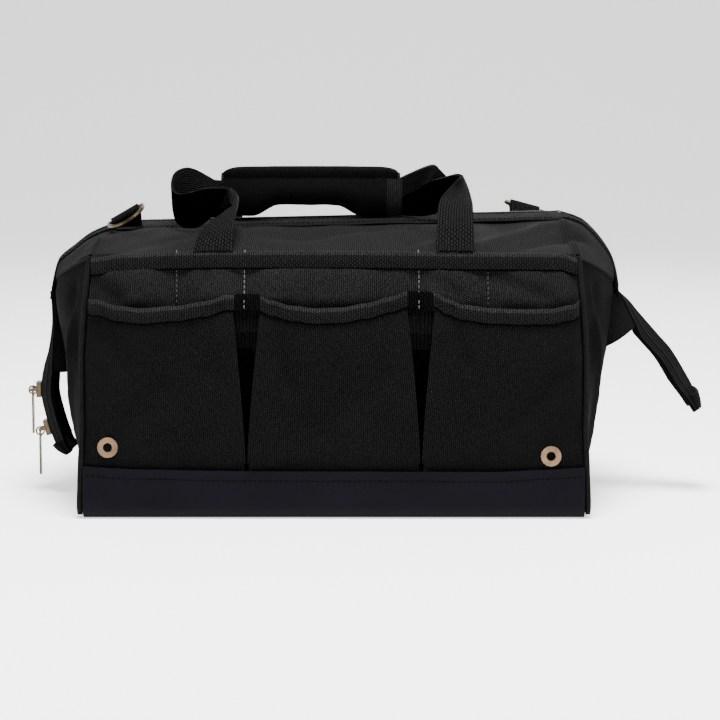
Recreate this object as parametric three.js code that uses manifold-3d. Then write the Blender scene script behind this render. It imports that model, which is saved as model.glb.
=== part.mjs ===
import * as THREE from 'three';
import Module from 'manifold-3d';
import { mergeVertices } from 'three/addons/utils/BufferGeometryUtils.js';

// A soft-sided zippered tool bag. Millimetres, +X right, -Y front, +Z up,
// origin on the floor under the middle of the bag.

// Driving dimensions
const gap = 0.3; // between neighbouring pieces
const cloth = 2.2; // padded wall fabric
const lightCloth = 1.8; // pockets and roof
const trim = 1.2; // folded binding tape
const webbingWidth = 25;
const webbingThickness = 2.4;
const bootHalfLength = 172.2;
const bootHalfDepth = 108;
const bootHeight = 34;
const bootSkin = 2.8;
const boardThickness = 3;
const bandTop = 181; // height of the hem band round the front and back
const bandWidth = 11;
const gussetTop = 150; // the end walls' top edge at mid depth
const pocketTop = 143;
const pleatX = 60; // the pleats between the bellows pockets
const pleatWidth = 16;
const jawPivotZ = 140;
const jawHalfLength = 153; // straight part of the mouth frame
const rivetX = bootHalfLength + 16.95; // between the eyes of the two frame halves
const eyeSpacing = 1.65; // from there to the middle of each eye
const pinRadius = 3;
const rodRadius = 3;
const rodY = 10;
const rodZ = 193;
const ridgeSlope = 0.022; // the mouth stands a little higher at the right
const gripLeft = -83;
const gripRight = 48;
const gripTop = 240;
const gripBottom = 204.2;
const tailHalfWidth = 18;
const tailThickness = 3;

const wasm = await Module();
wasm.setup();

const bag = new THREE.Group();

const black = { color: 0x1b1b1d, roughness: 0.93, metalness: 0 };
const grey = { color: 0x2a2a2c, roughness: 0.93, metalness: 0 };
const coated = { color: 0x18171c, roughness: 0.55, metalness: 0 };
const woven = { color: 0x2e2e30, roughness: 0.9, metalness: 0 };
const brass = { color: 0x9b8c79, roughness: 0.35, metalness: 0.9 };
const steel = { color: 0x8d9094, roughness: 0.4, metalness: 0.9 };
const board = { color: 0x101012, roughness: 0.7, metalness: 0 };

function add(name, geometry, look) {
  const mesh = new THREE.Mesh(geometry, new THREE.MeshStandardMaterial(look));
  mesh.name = name;
  bag.add(mesh);
  return mesh;
}

// Straight-line value of a profile, a list of [place, value] pairs
function valueAt(profile, place) {
  let i = 0;
  while (i < profile.length - 2 && place > profile[i + 1][0]) i += 1;
  const [a, from] = profile[i];
  const [b, to] = profile[i + 1];
  const t = THREE.MathUtils.clamp((place - a) / (b - a), 0, 1);
  return from + (to - from) * t;
}

function signedVolume(positions, indices) {
  let sum = 0;
  const at = (i) => new THREE.Vector3().fromArray(positions, 3 * i);
  for (let k = 0; k < indices.length; k += 3) {
    sum += at(indices[k]).dot(at(indices[k + 1]).cross(at(indices[k + 2])));
  }
  return sum / 6;
}

function solid(points, triangles) {
  const positions = points.flatMap((p) => [p.x, p.y, p.z]);
  if (signedVolume(positions, triangles) < 0) {
    for (let k = 0; k < triangles.length; k += 3) {
      [triangles[k], triangles[k + 1]] = [triangles[k + 1], triangles[k]];
    }
  }
  const geometry = new THREE.BufferGeometry();
  geometry.setAttribute('position', new THREE.Float32BufferAttribute(positions, 3));
  geometry.setIndex(triangles);
  geometry.computeVertexNormals();
  return geometry;
}

// A closed sheet between two surfaces over the same grid; a loop closes on itself along u
function sheet(outer, inner, across, along, loop = false) {
  const columns = loop ? across : across + 1;
  const points = [];
  for (const surface of [outer, inner]) {
    for (let j = 0; j <= along; j += 1) {
      for (let i = 0; i < columns; i += 1) points.push(surface(i / across, j / along));
    }
  }
  const layer = columns * (along + 1);
  const at = (side, i, j) => side * layer + j * columns + (i % columns);
  const triangles = [];
  const quad = (a, b, c, d) => triangles.push(a, b, c, a, c, d);
  for (let j = 0; j < along; j += 1) {
    for (let i = 0; i < across; i += 1) {
      quad(at(0, i, j), at(0, i + 1, j), at(0, i + 1, j + 1), at(0, i, j + 1));
      quad(at(1, i, j), at(1, i, j + 1), at(1, i + 1, j + 1), at(1, i + 1, j));
    }
  }
  for (let i = 0; i < across; i += 1) {
    quad(at(0, i, 0), at(1, i, 0), at(1, i + 1, 0), at(0, i + 1, 0));
    quad(at(0, i, along), at(0, i + 1, along), at(1, i + 1, along), at(1, i, along));
  }
  if (!loop) {
    for (let j = 0; j < along; j += 1) {
      quad(at(0, 0, j), at(0, 0, j + 1), at(1, 0, j + 1), at(1, 0, j));
      quad(at(0, across, j), at(1, across, j), at(1, across, j + 1), at(0, across, j + 1));
    }
  }
  return solid(points, triangles);
}

// A solid bar: rings of points from one end to the other, closed by a fan at each end
function loft(ring, around, along) {
  const points = [];
  for (let j = 0; j <= along; j += 1) {
    for (let i = 0; i < around; i += 1) points.push(ring(i / around, j / along));
  }
  const middle = (j) => {
    const sum = new THREE.Vector3();
    for (let i = 0; i < around; i += 1) sum.add(points[j * around + i]);
    return sum.divideScalar(around);
  };
  const ends = [points.length, points.length + 1];
  points.push(middle(0), middle(along));
  const triangles = [];
  for (let i = 0; i < around; i += 1) {
    const next = (i + 1) % around;
    for (let j = 0; j < along; j += 1) {
      const [a, b] = [j * around + i, j * around + next];
      triangles.push(a, b, b + around, a, b + around, a + around);
    }
    triangles.push(ends[0], next, i);
    triangles.push(ends[1], along * around + i, along * around + next);
  }
  return solid(points, triangles);
}

// A closed wire loop lying in the plane across the given normal
function wireLoop(points, normal, radius, sides = 8) {
  const count = points.length;
  const rings = [];
  for (let j = 0; j < count; j += 1) {
    const along = points[(j + 1) % count].clone().sub(points[(j + count - 1) % count]).normalize();
    const out = along.clone().cross(normal);
    for (let i = 0; i < sides; i += 1) {
      const a = (2 * Math.PI * i) / sides;
      const p = points[j].clone();
      p.addScaledVector(out, radius * Math.cos(a)).addScaledVector(normal, radius * Math.sin(a));
      rings.push(p);
    }
  }
  const triangles = [];
  for (let j = 0; j < count; j += 1) {
    for (let i = 0; i < sides; i += 1) {
      const [a, b] = [j * sides + i, j * sides + ((i + 1) % sides)];
      const [c, d] = [a, b].map((k) => (k + sides) % (count * sides));
      triangles.push(a, b, d, a, d, c);
    }
  }
  return solid(rings, triangles);
}

// A strap along a curve; facing(t) gives the direction of its width
function ribbon(points, facing, width, thickness, steps) {
  const curve = new THREE.CatmullRomCurve3(points);
  const frame = (t) => {
    const along = curve.getTangent(t);
    const side = facing(t).addScaledVector(along, -facing(t).dot(along)).normalize();
    return [curve.getPoint(t), side, along.clone().cross(side)];
  };
  const face = (offset) => (u, v) => {
    const [p, side, normal] = frame(v);
    return p.addScaledVector(side, (u - 0.5) * width).addScaledVector(normal, offset);
  };
  return sheet(face(thickness / 2), face(-thickness / 2), 2, steps);
}

function toManifold(geometry) {
  const bare = geometry.clone();
  bare.deleteAttribute('normal');
  bare.deleteAttribute('uv');
  const merged = mergeVertices(bare, 1e-4);
  const vertProperties = new Float32Array(merged.attributes.position.array);
  const triVerts = new Uint32Array(merged.index.array);
  return new wasm.Manifold(new wasm.Mesh({ numProp: 3, vertProperties, triVerts }));
}

function fromManifold(body) {
  const mesh = body.getMesh();
  const geometry = new THREE.BufferGeometry();
  geometry.setAttribute('position', new THREE.BufferAttribute(mesh.vertProperties, 3));
  geometry.setIndex(new THREE.BufferAttribute(mesh.triVerts, 1));
  geometry.computeVertexNormals();
  return geometry;
}

const join = (...parts) => fromManifold(wasm.Manifold.union(parts.map(toManifold)));
const cut = (part, tool) => fromManifold(toManifold(part).subtract(toManifold(tool)));

function rod(axis, radius, length, x, y, z, sides = 24) {
  const geometry = new THREE.CylinderGeometry(radius, radius, length, sides);
  if (axis === 'x') geometry.rotateZ(Math.PI / 2);
  if (axis === 'z') geometry.rotateX(Math.PI / 2);
  return geometry.translate(x, y, z);
}

function box(x0, x1, y0, y1, z0, z1) {
  const geometry = new THREE.BoxGeometry(x1 - x0, y1 - y0, z1 - z0);
  return geometry.translate((x0 + x1) / 2, (y0 + y1) / 2, (z0 + z1) / 2);
}

// An outline given for the back of the bag, turned over for the front
function polygon(side, corners) {
  const points = corners.map(([y, z]) => new THREE.Vector2(side * y, z));
  if (side < 0) points.reverse();
  return new THREE.Shape(points);
}

// A round or oval hole for an outline
function roundHole(x, y, radiusX, radiusY, sides = 16) {
  const points = Array.from({ length: sides }, (_, k) => {
    const a = (-2 * Math.PI * k) / sides;
    return new THREE.Vector2(x + radiusX * Math.cos(a), y + radiusY * Math.sin(a));
  });
  return new THREE.Path(points);
}

// An outline in the YZ plane run along X, climbing with the ridge slope
function barAlongX(outline, halfLength, slope) {
  const options = { depth: 2 * halfLength, bevelEnabled: false, curveSegments: 12 };
  const geometry = new THREE.ExtrudeGeometry(outline, options);
  geometry.translate(0, 0, -halfLength);
  geometry.applyMatrix4(new THREE.Matrix4().set(0, 0, 1, 0, 1, 0, 0, 0, 0, 1, slope, 0, 0, 0, 0, 1));
  return geometry;
}

// Shape of the body: half depth of the front wall, half length at the corner
// seams and how far the end walls bulge, each against height
const baseDepth = bootHalfDepth - bootSkin - lightCloth - gap - 1.1;
const wallDepth = [
  [0, baseDepth], [bootHeight, baseDepth], [110, baseDepth - 9], [150, baseDepth - 13.5],
  [bandTop, baseDepth - 20],
];
const seamLength = bootHalfLength + gap;
const cornerLength = [
  [0, seamLength], [60, seamLength - 1.5], [110, seamLength - 1.5], [150, seamLength - 4],
  [bandTop, seamLength - 6.5],
];
const endLength = [
  [0, seamLength + 3.3], [50, seamLength + 9.3], [80, seamLength + 17.3], [120, seamLength + 24.3],
  [gussetTop, seamLength + 27.3], [bandTop, seamLength + 22.5],
];
const pocketDepth = [
  [bootHeight, bootHalfDepth - 0.6], [110, bootHalfDepth - 3], [pocketTop, bootHalfDepth - 6],
];
const wall = (z) => valueAt(wallDepth, z);
const corner = (z) => valueAt(cornerLength, z);
const pocketFace = (z) => valueAt(pocketDepth, z);
const layer = lightCloth + gap;

// side is -1 at the front and +1 at the back; skin goes from its inner to its outer depth
function wallSheet(side, inside, thickness, halfLength, z0, z1) {
  const face = (depth) => (u, v) => {
    const z = z0 + (z1 - z0) * v;
    return new THREE.Vector3((2 * u - 1) * halfLength(z), side * (wall(z) + depth), z);
  };
  return sheet(face(inside + thickness), face(inside), 2, 10);
}

// x of an end wall's inner face
function gussetInside(across, z) {
  return corner(z) + (valueAt(endLength, z) - corner(z)) * (1 - across * across);
}

function gussetPoint(end, extra) {
  return (u, v) => {
    const across = 2 * u - 1;
    const top = gussetTop + (bandTop - gussetTop) * Math.abs(across);
    const z = 0.6 + (top - 0.6) * v;
    const x = end * (gussetInside(across, z) + extra);
    return new THREE.Vector3(x, across * (wall(z) + layer), z);
  };
}

function addBody() {
  const base = new THREE.Shape();
  const inner = bootHalfDepth - bootSkin;
  base.moveTo(-bootHalfDepth, bootHeight);
  base.lineTo(-bootHalfDepth, 9).quadraticCurveTo(-bootHalfDepth, 0, 9 - bootHalfDepth, 0);
  base.lineTo(bootHalfDepth - 9, 0).quadraticCurveTo(bootHalfDepth, 0, bootHalfDepth, 9);
  base.lineTo(bootHalfDepth, bootHeight).lineTo(inner, bootHeight).lineTo(inner, 9);
  base.quadraticCurveTo(inner, bootSkin, inner - 6.2, bootSkin).lineTo(6.2 - inner, bootSkin);
  base.quadraticCurveTo(-inner, bootSkin, -inner, 9).lineTo(-inner, bootHeight);
  add('base_boot', barAlongX(base, bootHalfLength, 0), coated);
  const floor = bootSkin + gap;
  const boardTop = floor + boardThickness;
  const boardLength = bootHalfLength - 3.2;
  const boardDepth = bootHalfDepth - 10;
  const stiffener = box(-boardLength, boardLength, -boardDepth, boardDepth, floor, boardTop);
  add('bottom_board', stiffener, board);
  const inset = (z) => corner(z) - gap;
  for (const [side, name] of [[-1, 'front'], [1, 'back']]) {
    add(`${name}_panel`, wallSheet(side, -cloth, cloth, inset, floor + 3.5, bandTop), black);
    add(`${name}_upper_pocket`, wallSheet(side, gap, lightCloth, inset, floor + 6.5, bandTop), black);
    const band = wallSheet(side, layer + gap, trim, inset, bandTop - bandWidth, bandTop + 0.8);
    add(`${name}_hem_binding`, band, woven);
    const behind = -cloth - 0.8 - lightCloth;
    const innerPocket = wallSheet(side, behind, lightCloth, () => 150, boardTop + 6, 112);
    add(`${name}_inner_pocket`, innerPocket, grey);
  }
  for (const [end, name] of [[-1, 'left'], [1, 'right']]) {
    add(`${name}_gusset`, sheet(gussetPoint(end, cloth), gussetPoint(end, 0), 10, 10), grey);
  }
}

// A bellows pocket's face runs out from the wall at its sides, so that a hollow is left behind it
function pocketPoint(side, x0, x1, inset) {
  const steps = [0, 0.01, 0.02, 0.2, 0.4, 0.5, 0.6, 0.8, 0.98, 0.99, 1];
  return (u, v) => {
    const z = bootHeight + gap + (pocketTop - bootHeight - gap) * v;
    const near = wall(z) + layer + gap;
    const far = pocketFace(z) - inset;
    const along = steps[Math.round(u * (steps.length - 1))];
    const climb = Math.min(1, along / 0.02, (1 - along) / 0.02);
    const x = x0 + inset + along * (x1 - x0 - 2 * inset);
    return new THREE.Vector3(x, side * (near + (far - near) * climb), z);
  };
}

const pocketShell = (side, x0, x1) =>
  sheet(pocketPoint(side, x0, x1, 0), pocketPoint(side, x0, x1, lightCloth), 10, 6);

// Tilt that lays a part made facing outwards flat on the pocket face
const pocketLean = Math.atan((pocketFace(bootHeight) - pocketFace(110)) / (110 - bootHeight));

// Two flanges on a short tube, its show side facing -Y
function eyelet() {
  const profile = [
    [3.2, -1.4], [7.1, -1.4], [7.1, -0.4], [4, -0.4], [4, 2.4], [6, 2.4], [6, 3.2], [3.2, 3.2], [3.2, -1.4],
  ];
  return new THREE.LatheGeometry(profile.map(([r, h]) => new THREE.Vector2(r, h)), 16);
}

function addPockets() {
  const reach = corner(90) - 2;
  const half = pleatWidth / 2 - 6;
  const spans = [
    ['left', -reach, -pleatX - half],
    ['mid', half - pleatX, pleatX - half],
    ['right', pleatX + half, reach],
  ];
  const eyelets = { left: [17.2 - bootHalfLength, 50], right: [bootHalfLength - 23.2, 44] };
  for (const [side, name] of [[-1, 'front'], [1, 'back']]) {
    for (const [place, x0, x1] of spans) {
      let shell = pocketShell(side, x0, x1);
      if (eyelets[place]) {
        const [x, z] = eyelets[place];
        shell = cut(shell, rod('y', 4.4, 8, x, side * (pocketFace(z) - lightCloth / 2), z));
        const ring = eyelet();
        if (side > 0) ring.rotateX(Math.PI);
        ring.rotateX(side * pocketLean);
        ring.translate(x, side * pocketFace(z), z);
        add(`${name}_${place}_eyelet`, ring, brass);
      }
      add(`${name}_pocket_${place}`, shell, black);
      const strip = (depth) => (u, v) => {
        const z = pocketTop - bandWidth * v;
        const x = x0 + 3 + (x1 - x0 - 6) * u;
        return new THREE.Vector3(x, side * (pocketFace(z) + depth), z);
      };
      add(`${name}_pocket_binding_${place}`, sheet(strip(gap + trim), strip(gap), 2, 1), woven);
    }
  }
}

// Height of the mouth above its middle, at a place along the bag
const rise = (x) => ridgeSlope * x;

// The roof runs from the hem band and the end walls' top edges up to the mouth
function roofPoint(side, inset) {
  const nearEnd = (u) => Math.min(1, u / 0.25, (1 - u) / 0.25);
  const alongX = (u, halfLength) => 4 * (u - 0.5) * halfLength;
  const depth = (z) => wall(z) + layer + 0.4;
  const eaves = (u) => {
    const end = nearEnd(u);
    if (end === 1) {
      return new THREE.Vector3(alongX(u, corner(bandTop) + cloth), side * depth(bandTop), bandTop + 2.6);
    }
    const z = gussetTop + (bandTop - gussetTop) * end;
    const x = Math.sign(u - 0.5) * (gussetInside(end, z) + cloth);
    return new THREE.Vector3(x, side * end * depth(z), z + 2.6);
  };
  const endOutline = [[31, 152.8], [29, 166], [23.5, 180], [15.5, 190.5], [3.5, 199], [-12.5, 202]];
  const endPoints = endOutline.map(([out, z]) => new THREE.Vector3(seamLength + out, 0, z));
  const endRidge = new THREE.CatmullRomCurve3(endPoints);
  const ridge = (u) => {
    const end = nearEnd(u);
    if (end === 1) {
      const x = alongX(u, jawHalfLength + 2.5);
      return new THREE.Vector3(x, side * 19.2, 198 + rise(x));
    }
    const p = endRidge.getPoint(end);
    const x = Math.sign(u - 0.5) * p.x;
    return new THREE.Vector3(x, side * 0.4, p.z + rise(x) * end);
  };
  return (u, v) => {
    const p = eaves(u).lerp(ridge(u), v);
    p.z += 4 * Math.sin(Math.PI * v) * nearEnd(u);
    const inward = new THREE.Vector3(-0.25 * p.x, -p.y, 110 - p.z).normalize();
    return p.addScaledVector(inward, inset);
  };
}

function addRoof() {
  for (const [side, name] of [[-1, 'front'], [1, 'back']]) {
    add(`${name}_yoke`, sheet(roofPoint(side, 0), roofPoint(side, lightCloth), 24, 6), grey);
  }
}

// One half of the mouth frame: a bent rod whose flattened ends turn on a rivet at each end of the bag
function frameRod(side, eyeX) {
  const bend = 34;
  const tongue = 14;
  const lean = THREE.MathUtils.degToRad(22);
  const foot = [side * (tongue - 1.5) * Math.sin(lean), jawPivotZ + (tongue - 1.5) * Math.cos(lean)];
  const path = new THREE.CurvePath();
  const leg = (sign) => {
    const x = sign * eyeX;
    const z = rodZ + rise(x - sign * bend);
    return [
      new THREE.Vector3(x, foot[0], foot[1]),
      new THREE.Vector3(x, side * rodY, z - bend),
      new THREE.Vector3(x, side * rodY, z),
      new THREE.Vector3(x - sign * bend, side * rodY, z),
    ];
  };
  const [left, right] = [leg(-1), leg(1)];
  path.add(new THREE.LineCurve3(left[0], left[1]));
  path.add(new THREE.QuadraticBezierCurve3(left[1], left[2], left[3]));
  path.add(new THREE.LineCurve3(left[3], right[3]));
  path.add(new THREE.QuadraticBezierCurve3(right[3], right[2], right[1]));
  path.add(new THREE.LineCurve3(right[1], right[0]));
  const points = path.curves.flatMap((curve, k) => {
    const steps = curve.isLineCurve3 ? 1 : 6;
    return curve.getPoints(steps).slice(k === 0 ? 0 : 1);
  });
  const normal = (j) => {
    const before = points[Math.max(0, j - 1)];
    const after = points[Math.min(points.length - 1, j + 1)];
    return after.clone().sub(before).normalize();
  };
  const up = new THREE.Vector3(0, 1, 0);
  let bar = loft((u, v) => {
    const j = Math.round(v * (points.length - 1));
    const along = normal(j);
    const wide = along.clone().cross(up).normalize();
    const deep = along.clone().cross(wide);
    const a = 2 * Math.PI * u;
    const p = points[j].clone();
    return p.addScaledVector(wide, rodRadius * Math.cos(a)).addScaledVector(deep, rodRadius * Math.sin(a));
  }, 8, points.length - 1);
  for (const sign of [-1, 1]) {
    const x = sign * eyeX;
    const plate = box(-1.5, 1.5, -4, 4, 0, tongue + 3);
    plate.rotateX(-side * lean);
    plate.translate(x, 0, jawPivotZ);
    bar = join(bar, plate, rod('x', 7, 3, x, 0, jawPivotZ));
  }
  for (const sign of [-1, 1]) {
    bar = cut(bar, rod('x', pinRadius + 0.15, 8, sign * eyeX, 0, jawPivotZ));
  }
  return bar;
}

// Fabric channel sewn round the frame rod, with the zip half on top of it
function addJaws() {
  for (const [side, name] of [[-1, 'front'], [1, 'back']]) {
    const eyeX = side < 0 ? rivetX - eyeSpacing : rivetX + eyeSpacing;
    add(`${name}_frame_rod`, frameRod(side, eyeX), steel);
    const casing = polygon(side, [[1, 188.4], [18.6, 188.2], [18.6, 197.4], [1, 199.2]]);
    casing.holes.push(roundHole(side * rodY, rodZ, rodRadius + gap, rodRadius + gap));
    add(`${name}_placket`, barAlongX(casing, jawHalfLength, ridgeSlope), black);
    const halfZip = [[0.2, 199.5], [11, 198.9], [11, 200], [3.6, 200.6], [3.2, 202.4], [0.2, 202.6]];
    const tape = polygon(side, halfZip);
    add(`${name}_zip_half`, barAlongX(tape, jawHalfLength, ridgeSlope), woven);
  }
  for (const [end, name] of [[-1, 'left'], [1, 'right']]) {
    const shank = rod('x', pinRadius, 11.5, end * (rivetX + 1.35), 0, jawPivotZ);
    const head = rod('x', 5.5, 1.5, end * (rivetX - 4.25), 0, jawPivotZ);
    const foot = rod('x', 5.5, 1.6, end * (rivetX + 4.45), 0, jawPivotZ);
    add(`${name}_pivot_rivet`, join(shank, head, foot), steel);
    const patchX = rivetX + 6.45;
    const patch = box(patchX - 0.8, patchX + 0.8, -14, 14, 126, 147);
    if (end < 0) patch.translate(-2 * patchX, 0, 0);
    const hole = rod('x', pinRadius + gap + 0.1, 12, end * patchX, 0, jawPivotZ);
    add(`${name}_pivot_patch`, cut(patch, hole), woven);
  }
}

// Padded wrap that holds the two carrying straps together
function gripOutline(halfDepth, low, high) {
  return (u) => {
    const a = 2 * Math.PI * u;
    const bulge = (c) => Math.sign(c) * Math.abs(c) ** 0.75;
    return [halfDepth * bulge(Math.cos(a)), (low + high) / 2 + ((high - low) / 2) * bulge(Math.sin(a))];
  };
}

function addHandle() {
  const length = gripRight - gripLeft;
  const arch = (v) => 5 * Math.sin(Math.PI * v);
  const at = (outline, inset, lift) => (u, v) => {
    const [y, z] = outline(u);
    const raise = z < 215 ? lift * arch(v) : 0;
    const taper = 1 - 0.12 * Math.abs(2 * v - 1) ** 6;
    return new THREE.Vector3(gripLeft + inset + (length - 2 * inset) * v, y * taper, z + raise);
  };
  const wrapOutside = gripOutline(17, gripBottom, gripTop);
  const wrapInside = gripOutline(13.2, gripBottom + 9, gripTop - 4);
  add('grip_wrap', sheet(at(wrapOutside, 0, 1), at(wrapInside, 0, 0), 16, 8, true), black);
  add('grip_core', loft(at(gripOutline(11, gripBottom + 11, gripTop - 6), 1, 0), 12, 2), woven);
  const flapSpan = [gripLeft + 4, gripRight - 2];
  const flap = (depth) => (u, v) => {
    const z = gripTop - 9 - 21 * v;
    const swell = 1.2 * Math.sin(Math.PI * v);
    return new THREE.Vector3(flapSpan[0] + (flapSpan[1] - flapSpan[0]) * u, -(17.4 + depth + swell), z);
  };
  add('grip_flap', sheet(flap(2), flap(0), 6, 4), grey);
}

// Carrying straps, from the hem band up to the ends of the grip
function addStraps() {
  const foot = [83.5, wall(bandTop) + layer + gap + trim + gap + 1.4, bandTop + 2.6];
  const facings = {
    right: [[1, 0, 0], [1, 0, 0], [1, 0, 0.15], [0.8, 0, 0.6], [0, 0, 1]],
    left: [[1, 0, 0], [1, 0, 0], [0.8, 0.5, 0], [0.2, 1, 0.2], [0, 1, 0.5], [0, 0.4, 1]],
  };
  const routes = {
    right: [
      foot, [83, 78, gripTop - 38], [80, 54, gripTop - 21], [70, 28, gripTop - 15],
      [gripRight + 2.5, 13, gripTop - 16],
    ],
    left: [
      [-foot[0], foot[1], foot[2]], [-84, 80, gripTop - 40], [-92, 58, gripTop - 26],
      [gripLeft - 23, 36, gripTop - 18], [gripLeft - 20, 22, gripTop - 8], [gripLeft - 3, 14, gripTop - 15],
    ],
  };
  for (const [side, name] of [[-1, 'front'], [1, 'back']]) {
    for (const end of ['left', 'right']) {
      const route = routes[end].map(([x, y, z]) => new THREE.Vector3(x, side * y, z));
      const facing = (t) => {
        const list = facings[end];
        const k = Math.min(list.length - 2, Math.floor(t * (list.length - 1)));
        const [a, b] = [list[k], list[k + 1]].map(([x, y, z]) => new THREE.Vector3(x, side * y, z));
        return a.lerp(b, t * (list.length - 1) - k).normalize();
      };
      add(`${name}_${end}_strap`, ribbon(route, facing, webbingWidth, webbingThickness, 16), woven);
    }
  }
}

// Free ends of the zip: a facing whose edges curl in, hanging from the end wall
const tailStart = seamLength + 33.1;
const tailRoutes = {
  left: [[0, 149], [-0.6, 128], [2.4, 108], [6.9, 94], [8.9, 84], [8.9, 68], [0.4, 38], [-9.6, 28]],
  right: [
    [0, 149], [7.4, 142], [15.4, 133], [22.4, 125], [30.4, 116], [38.9, 106.5], [46.4, 95], [57.4, 75.5],
    [61.4, 64],
  ],
};

function tailPoint(end, depth) {
  const route = tailRoutes[end > 0 ? 'right' : 'left'].map(([out, z]) => [end * (tailStart + out), z]);
  const curl = [[0, 0.2], [0.25, end > 0 ? 5 : 2], [0.45, 8.5], [1, 9.5]];
  return (u, v) => {
    const k = Math.round(v * (route.length - 1));
    const at = (i) => new THREE.Vector2(...route[THREE.MathUtils.clamp(i, 0, route.length - 1)]);
    const along = at(k + 1).sub(at(k - 1)).normalize();
    const inward = new THREE.Vector2(end * along.y, -end * along.x);
    const across = 2 * u - 1;
    const p = at(k).addScaledVector(inward, depth + valueAt(curl, v) * across ** 2);
    return new THREE.Vector3(p.x, across * tailHalfWidth, p.y);
  };
}

function addTails() {
  for (const [end, name] of [[-1, 'left'], [1, 'right']]) {
    const steps = tailRoutes[name].length - 1;
    add(`${name}_tail`, sheet(tailPoint(end, 0), tailPoint(end, tailThickness), 8, steps), grey);
  }
}

// Zip sliders parked on the left tail, each with a wire ring and a hanging pull
const sliders = {
  upper: { face: [-8.9 - tailStart, 76], tilt: 0, offset: 3.3 },
  lower: { face: [-3.4 - tailStart, 48.6], tilt: 15.8, offset: -3.3 },
};

function addSliders() {
  for (const [name, { face, tilt, offset }] of Object.entries(sliders)) {
    const base = box(-3.9, -0.6, -5.5, 5.5, -5.6, 5.6);
    const legs = [-1, 1].map((s) => box(-8.2, -3.2, s * 5.4 - 0.9, s * 5.4 + 0.9, -1, 1));
    const crown = rod('y', 0.8, 12.4, -7.5, 0, 0, 10);
    const body = join(base, ...legs, crown);
    body.rotateY(THREE.MathUtils.degToRad(-tilt));
    body.translate(face[0], 0, face[1]);
    add(`slider_${name}`, body, brass);
    const turn = THREE.MathUtils.degToRad(tilt);
    const bar = [face[0] - 7.5 * Math.cos(turn), face[1] - 7.5 * Math.sin(turn)];
    const ringRadius = 2.9;
    const drop = ringRadius - 0.6 - 1.1;
    const hoop = Array.from({ length: 18 }, (_, k) => {
      const a = (2 * Math.PI * k) / 18;
      const up = bar[1] - drop + ringRadius * Math.sin(a);
      return new THREE.Vector3(bar[0] + ringRadius * Math.cos(a), offset, up);
    });
    add(`slider_${name}_ring`, wireLoop(hoop, new THREE.Vector3(0, 1, 0), 0.6, 8), brass);
    add(`slider_${name}_pull`, pullAt(bar[0], offset, bar[1] - 2 * drop), brass);
  }
}

// A flat pull hung by a hole near its top; the point given is the middle of the bar above that hole
function pullAt(x, y, z) {
  const outline = new THREE.Shape();
  outline.moveTo(2.6, 1.1).lineTo(-2.6, 1.1).lineTo(-2.6, -6).lineTo(-2.9, -10).lineTo(-2.9, -28);
  outline.quadraticCurveTo(-2.9, -31, 0, -31).quadraticCurveTo(2.9, -31, 2.9, -28);
  outline.lineTo(2.9, -10).lineTo(2.6, -6);
  outline.holes.push(roundHole(0, -2.5, 1.5, 2.3));
  const plate = new THREE.ExtrudeGeometry(outline, { depth: 1.2, bevelEnabled: false, curveSegments: 8 });
  plate.translate(0, 0, -0.6);
  plate.applyMatrix4(new THREE.Matrix4().set(0, 0, 1, 0, 1, 0, 0, 0, 0, 1, 0, 0, 0, 0, 0, 1));
  return plate.translate(x, y, z);
}

// Shoulder-strap rings, one at each end of the mouth, held by a loop of webbing sewn in at the mouth's edge
const rings = {
  left: { bar: [-149, -26, 205], slope: 30, turn: 1, droop: 16 },
  right: { bar: [139, 26, 208], slope: 15, turn: -1, droop: 6 },
};

function addRings() {
  const wire = 1.5;
  for (const [name, { bar, slope, turn, droop }] of Object.entries(rings)) {
    const angle = THREE.MathUtils.degToRad(slope);
    const [c, s] = [Math.cos(angle), Math.sin(angle)];
    const hang = THREE.MathUtils.degToRad(droop);
    const place = (along, out, up) => {
      const x = bar[0] + turn * (along * c - up * s);
      return new THREE.Vector3(x, bar[1] - turn * out, bar[2] + along * s + up * c);
    };
    const bow = Array.from({ length: 15 }, (_, k) => {
      const a = (Math.PI * k) / 14;
      const out = 17 * Math.sin(a);
      return place(14 * Math.cos(a), out * Math.cos(hang), -out * Math.sin(hang));
    });
    const normal = place(0, Math.sin(hang), Math.cos(hang)).sub(place(0, 0, 0));
    const straight = [-9, -3, 3, 9].map((x) => place(x, 0, 0));
    add(`${name}_d_ring`, wireLoop([...bow, ...straight], normal, wire), steel);
    const hole = wire + gap + 0.1;
    const roll = (r) => (u, v) => {
      const a = 2 * Math.PI * u;
      return place(-11 + 22 * v, r * Math.cos(a), r * Math.sin(a));
    };
    const tongue = (thickness) => (u, v) => {
      const along = -10 + 20 * u;
      const x = bar[0] + turn * along;
      const seam = new THREE.Vector3(x, -turn * (19.8 + thickness), 198.9 + rise(x));
      return place(along, thickness - 4.2, -1.5).lerp(seam, v);
    };
    const loop = sheet(roll(hole + 2), roll(hole), 16, 1, true);
    add(`${name}_ring_tab`, join(loop, sheet(tongue(2), tongue(0), 2, 2)), woven);
  }
}

addBody();
addPockets();
addRoof();
addJaws();
addHandle();
addStraps();
addTails();
addSliders();
addRings();

export default bag;
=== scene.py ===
import math

import bmesh
import bpy
from mathutils import Matrix, Vector, noise


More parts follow.
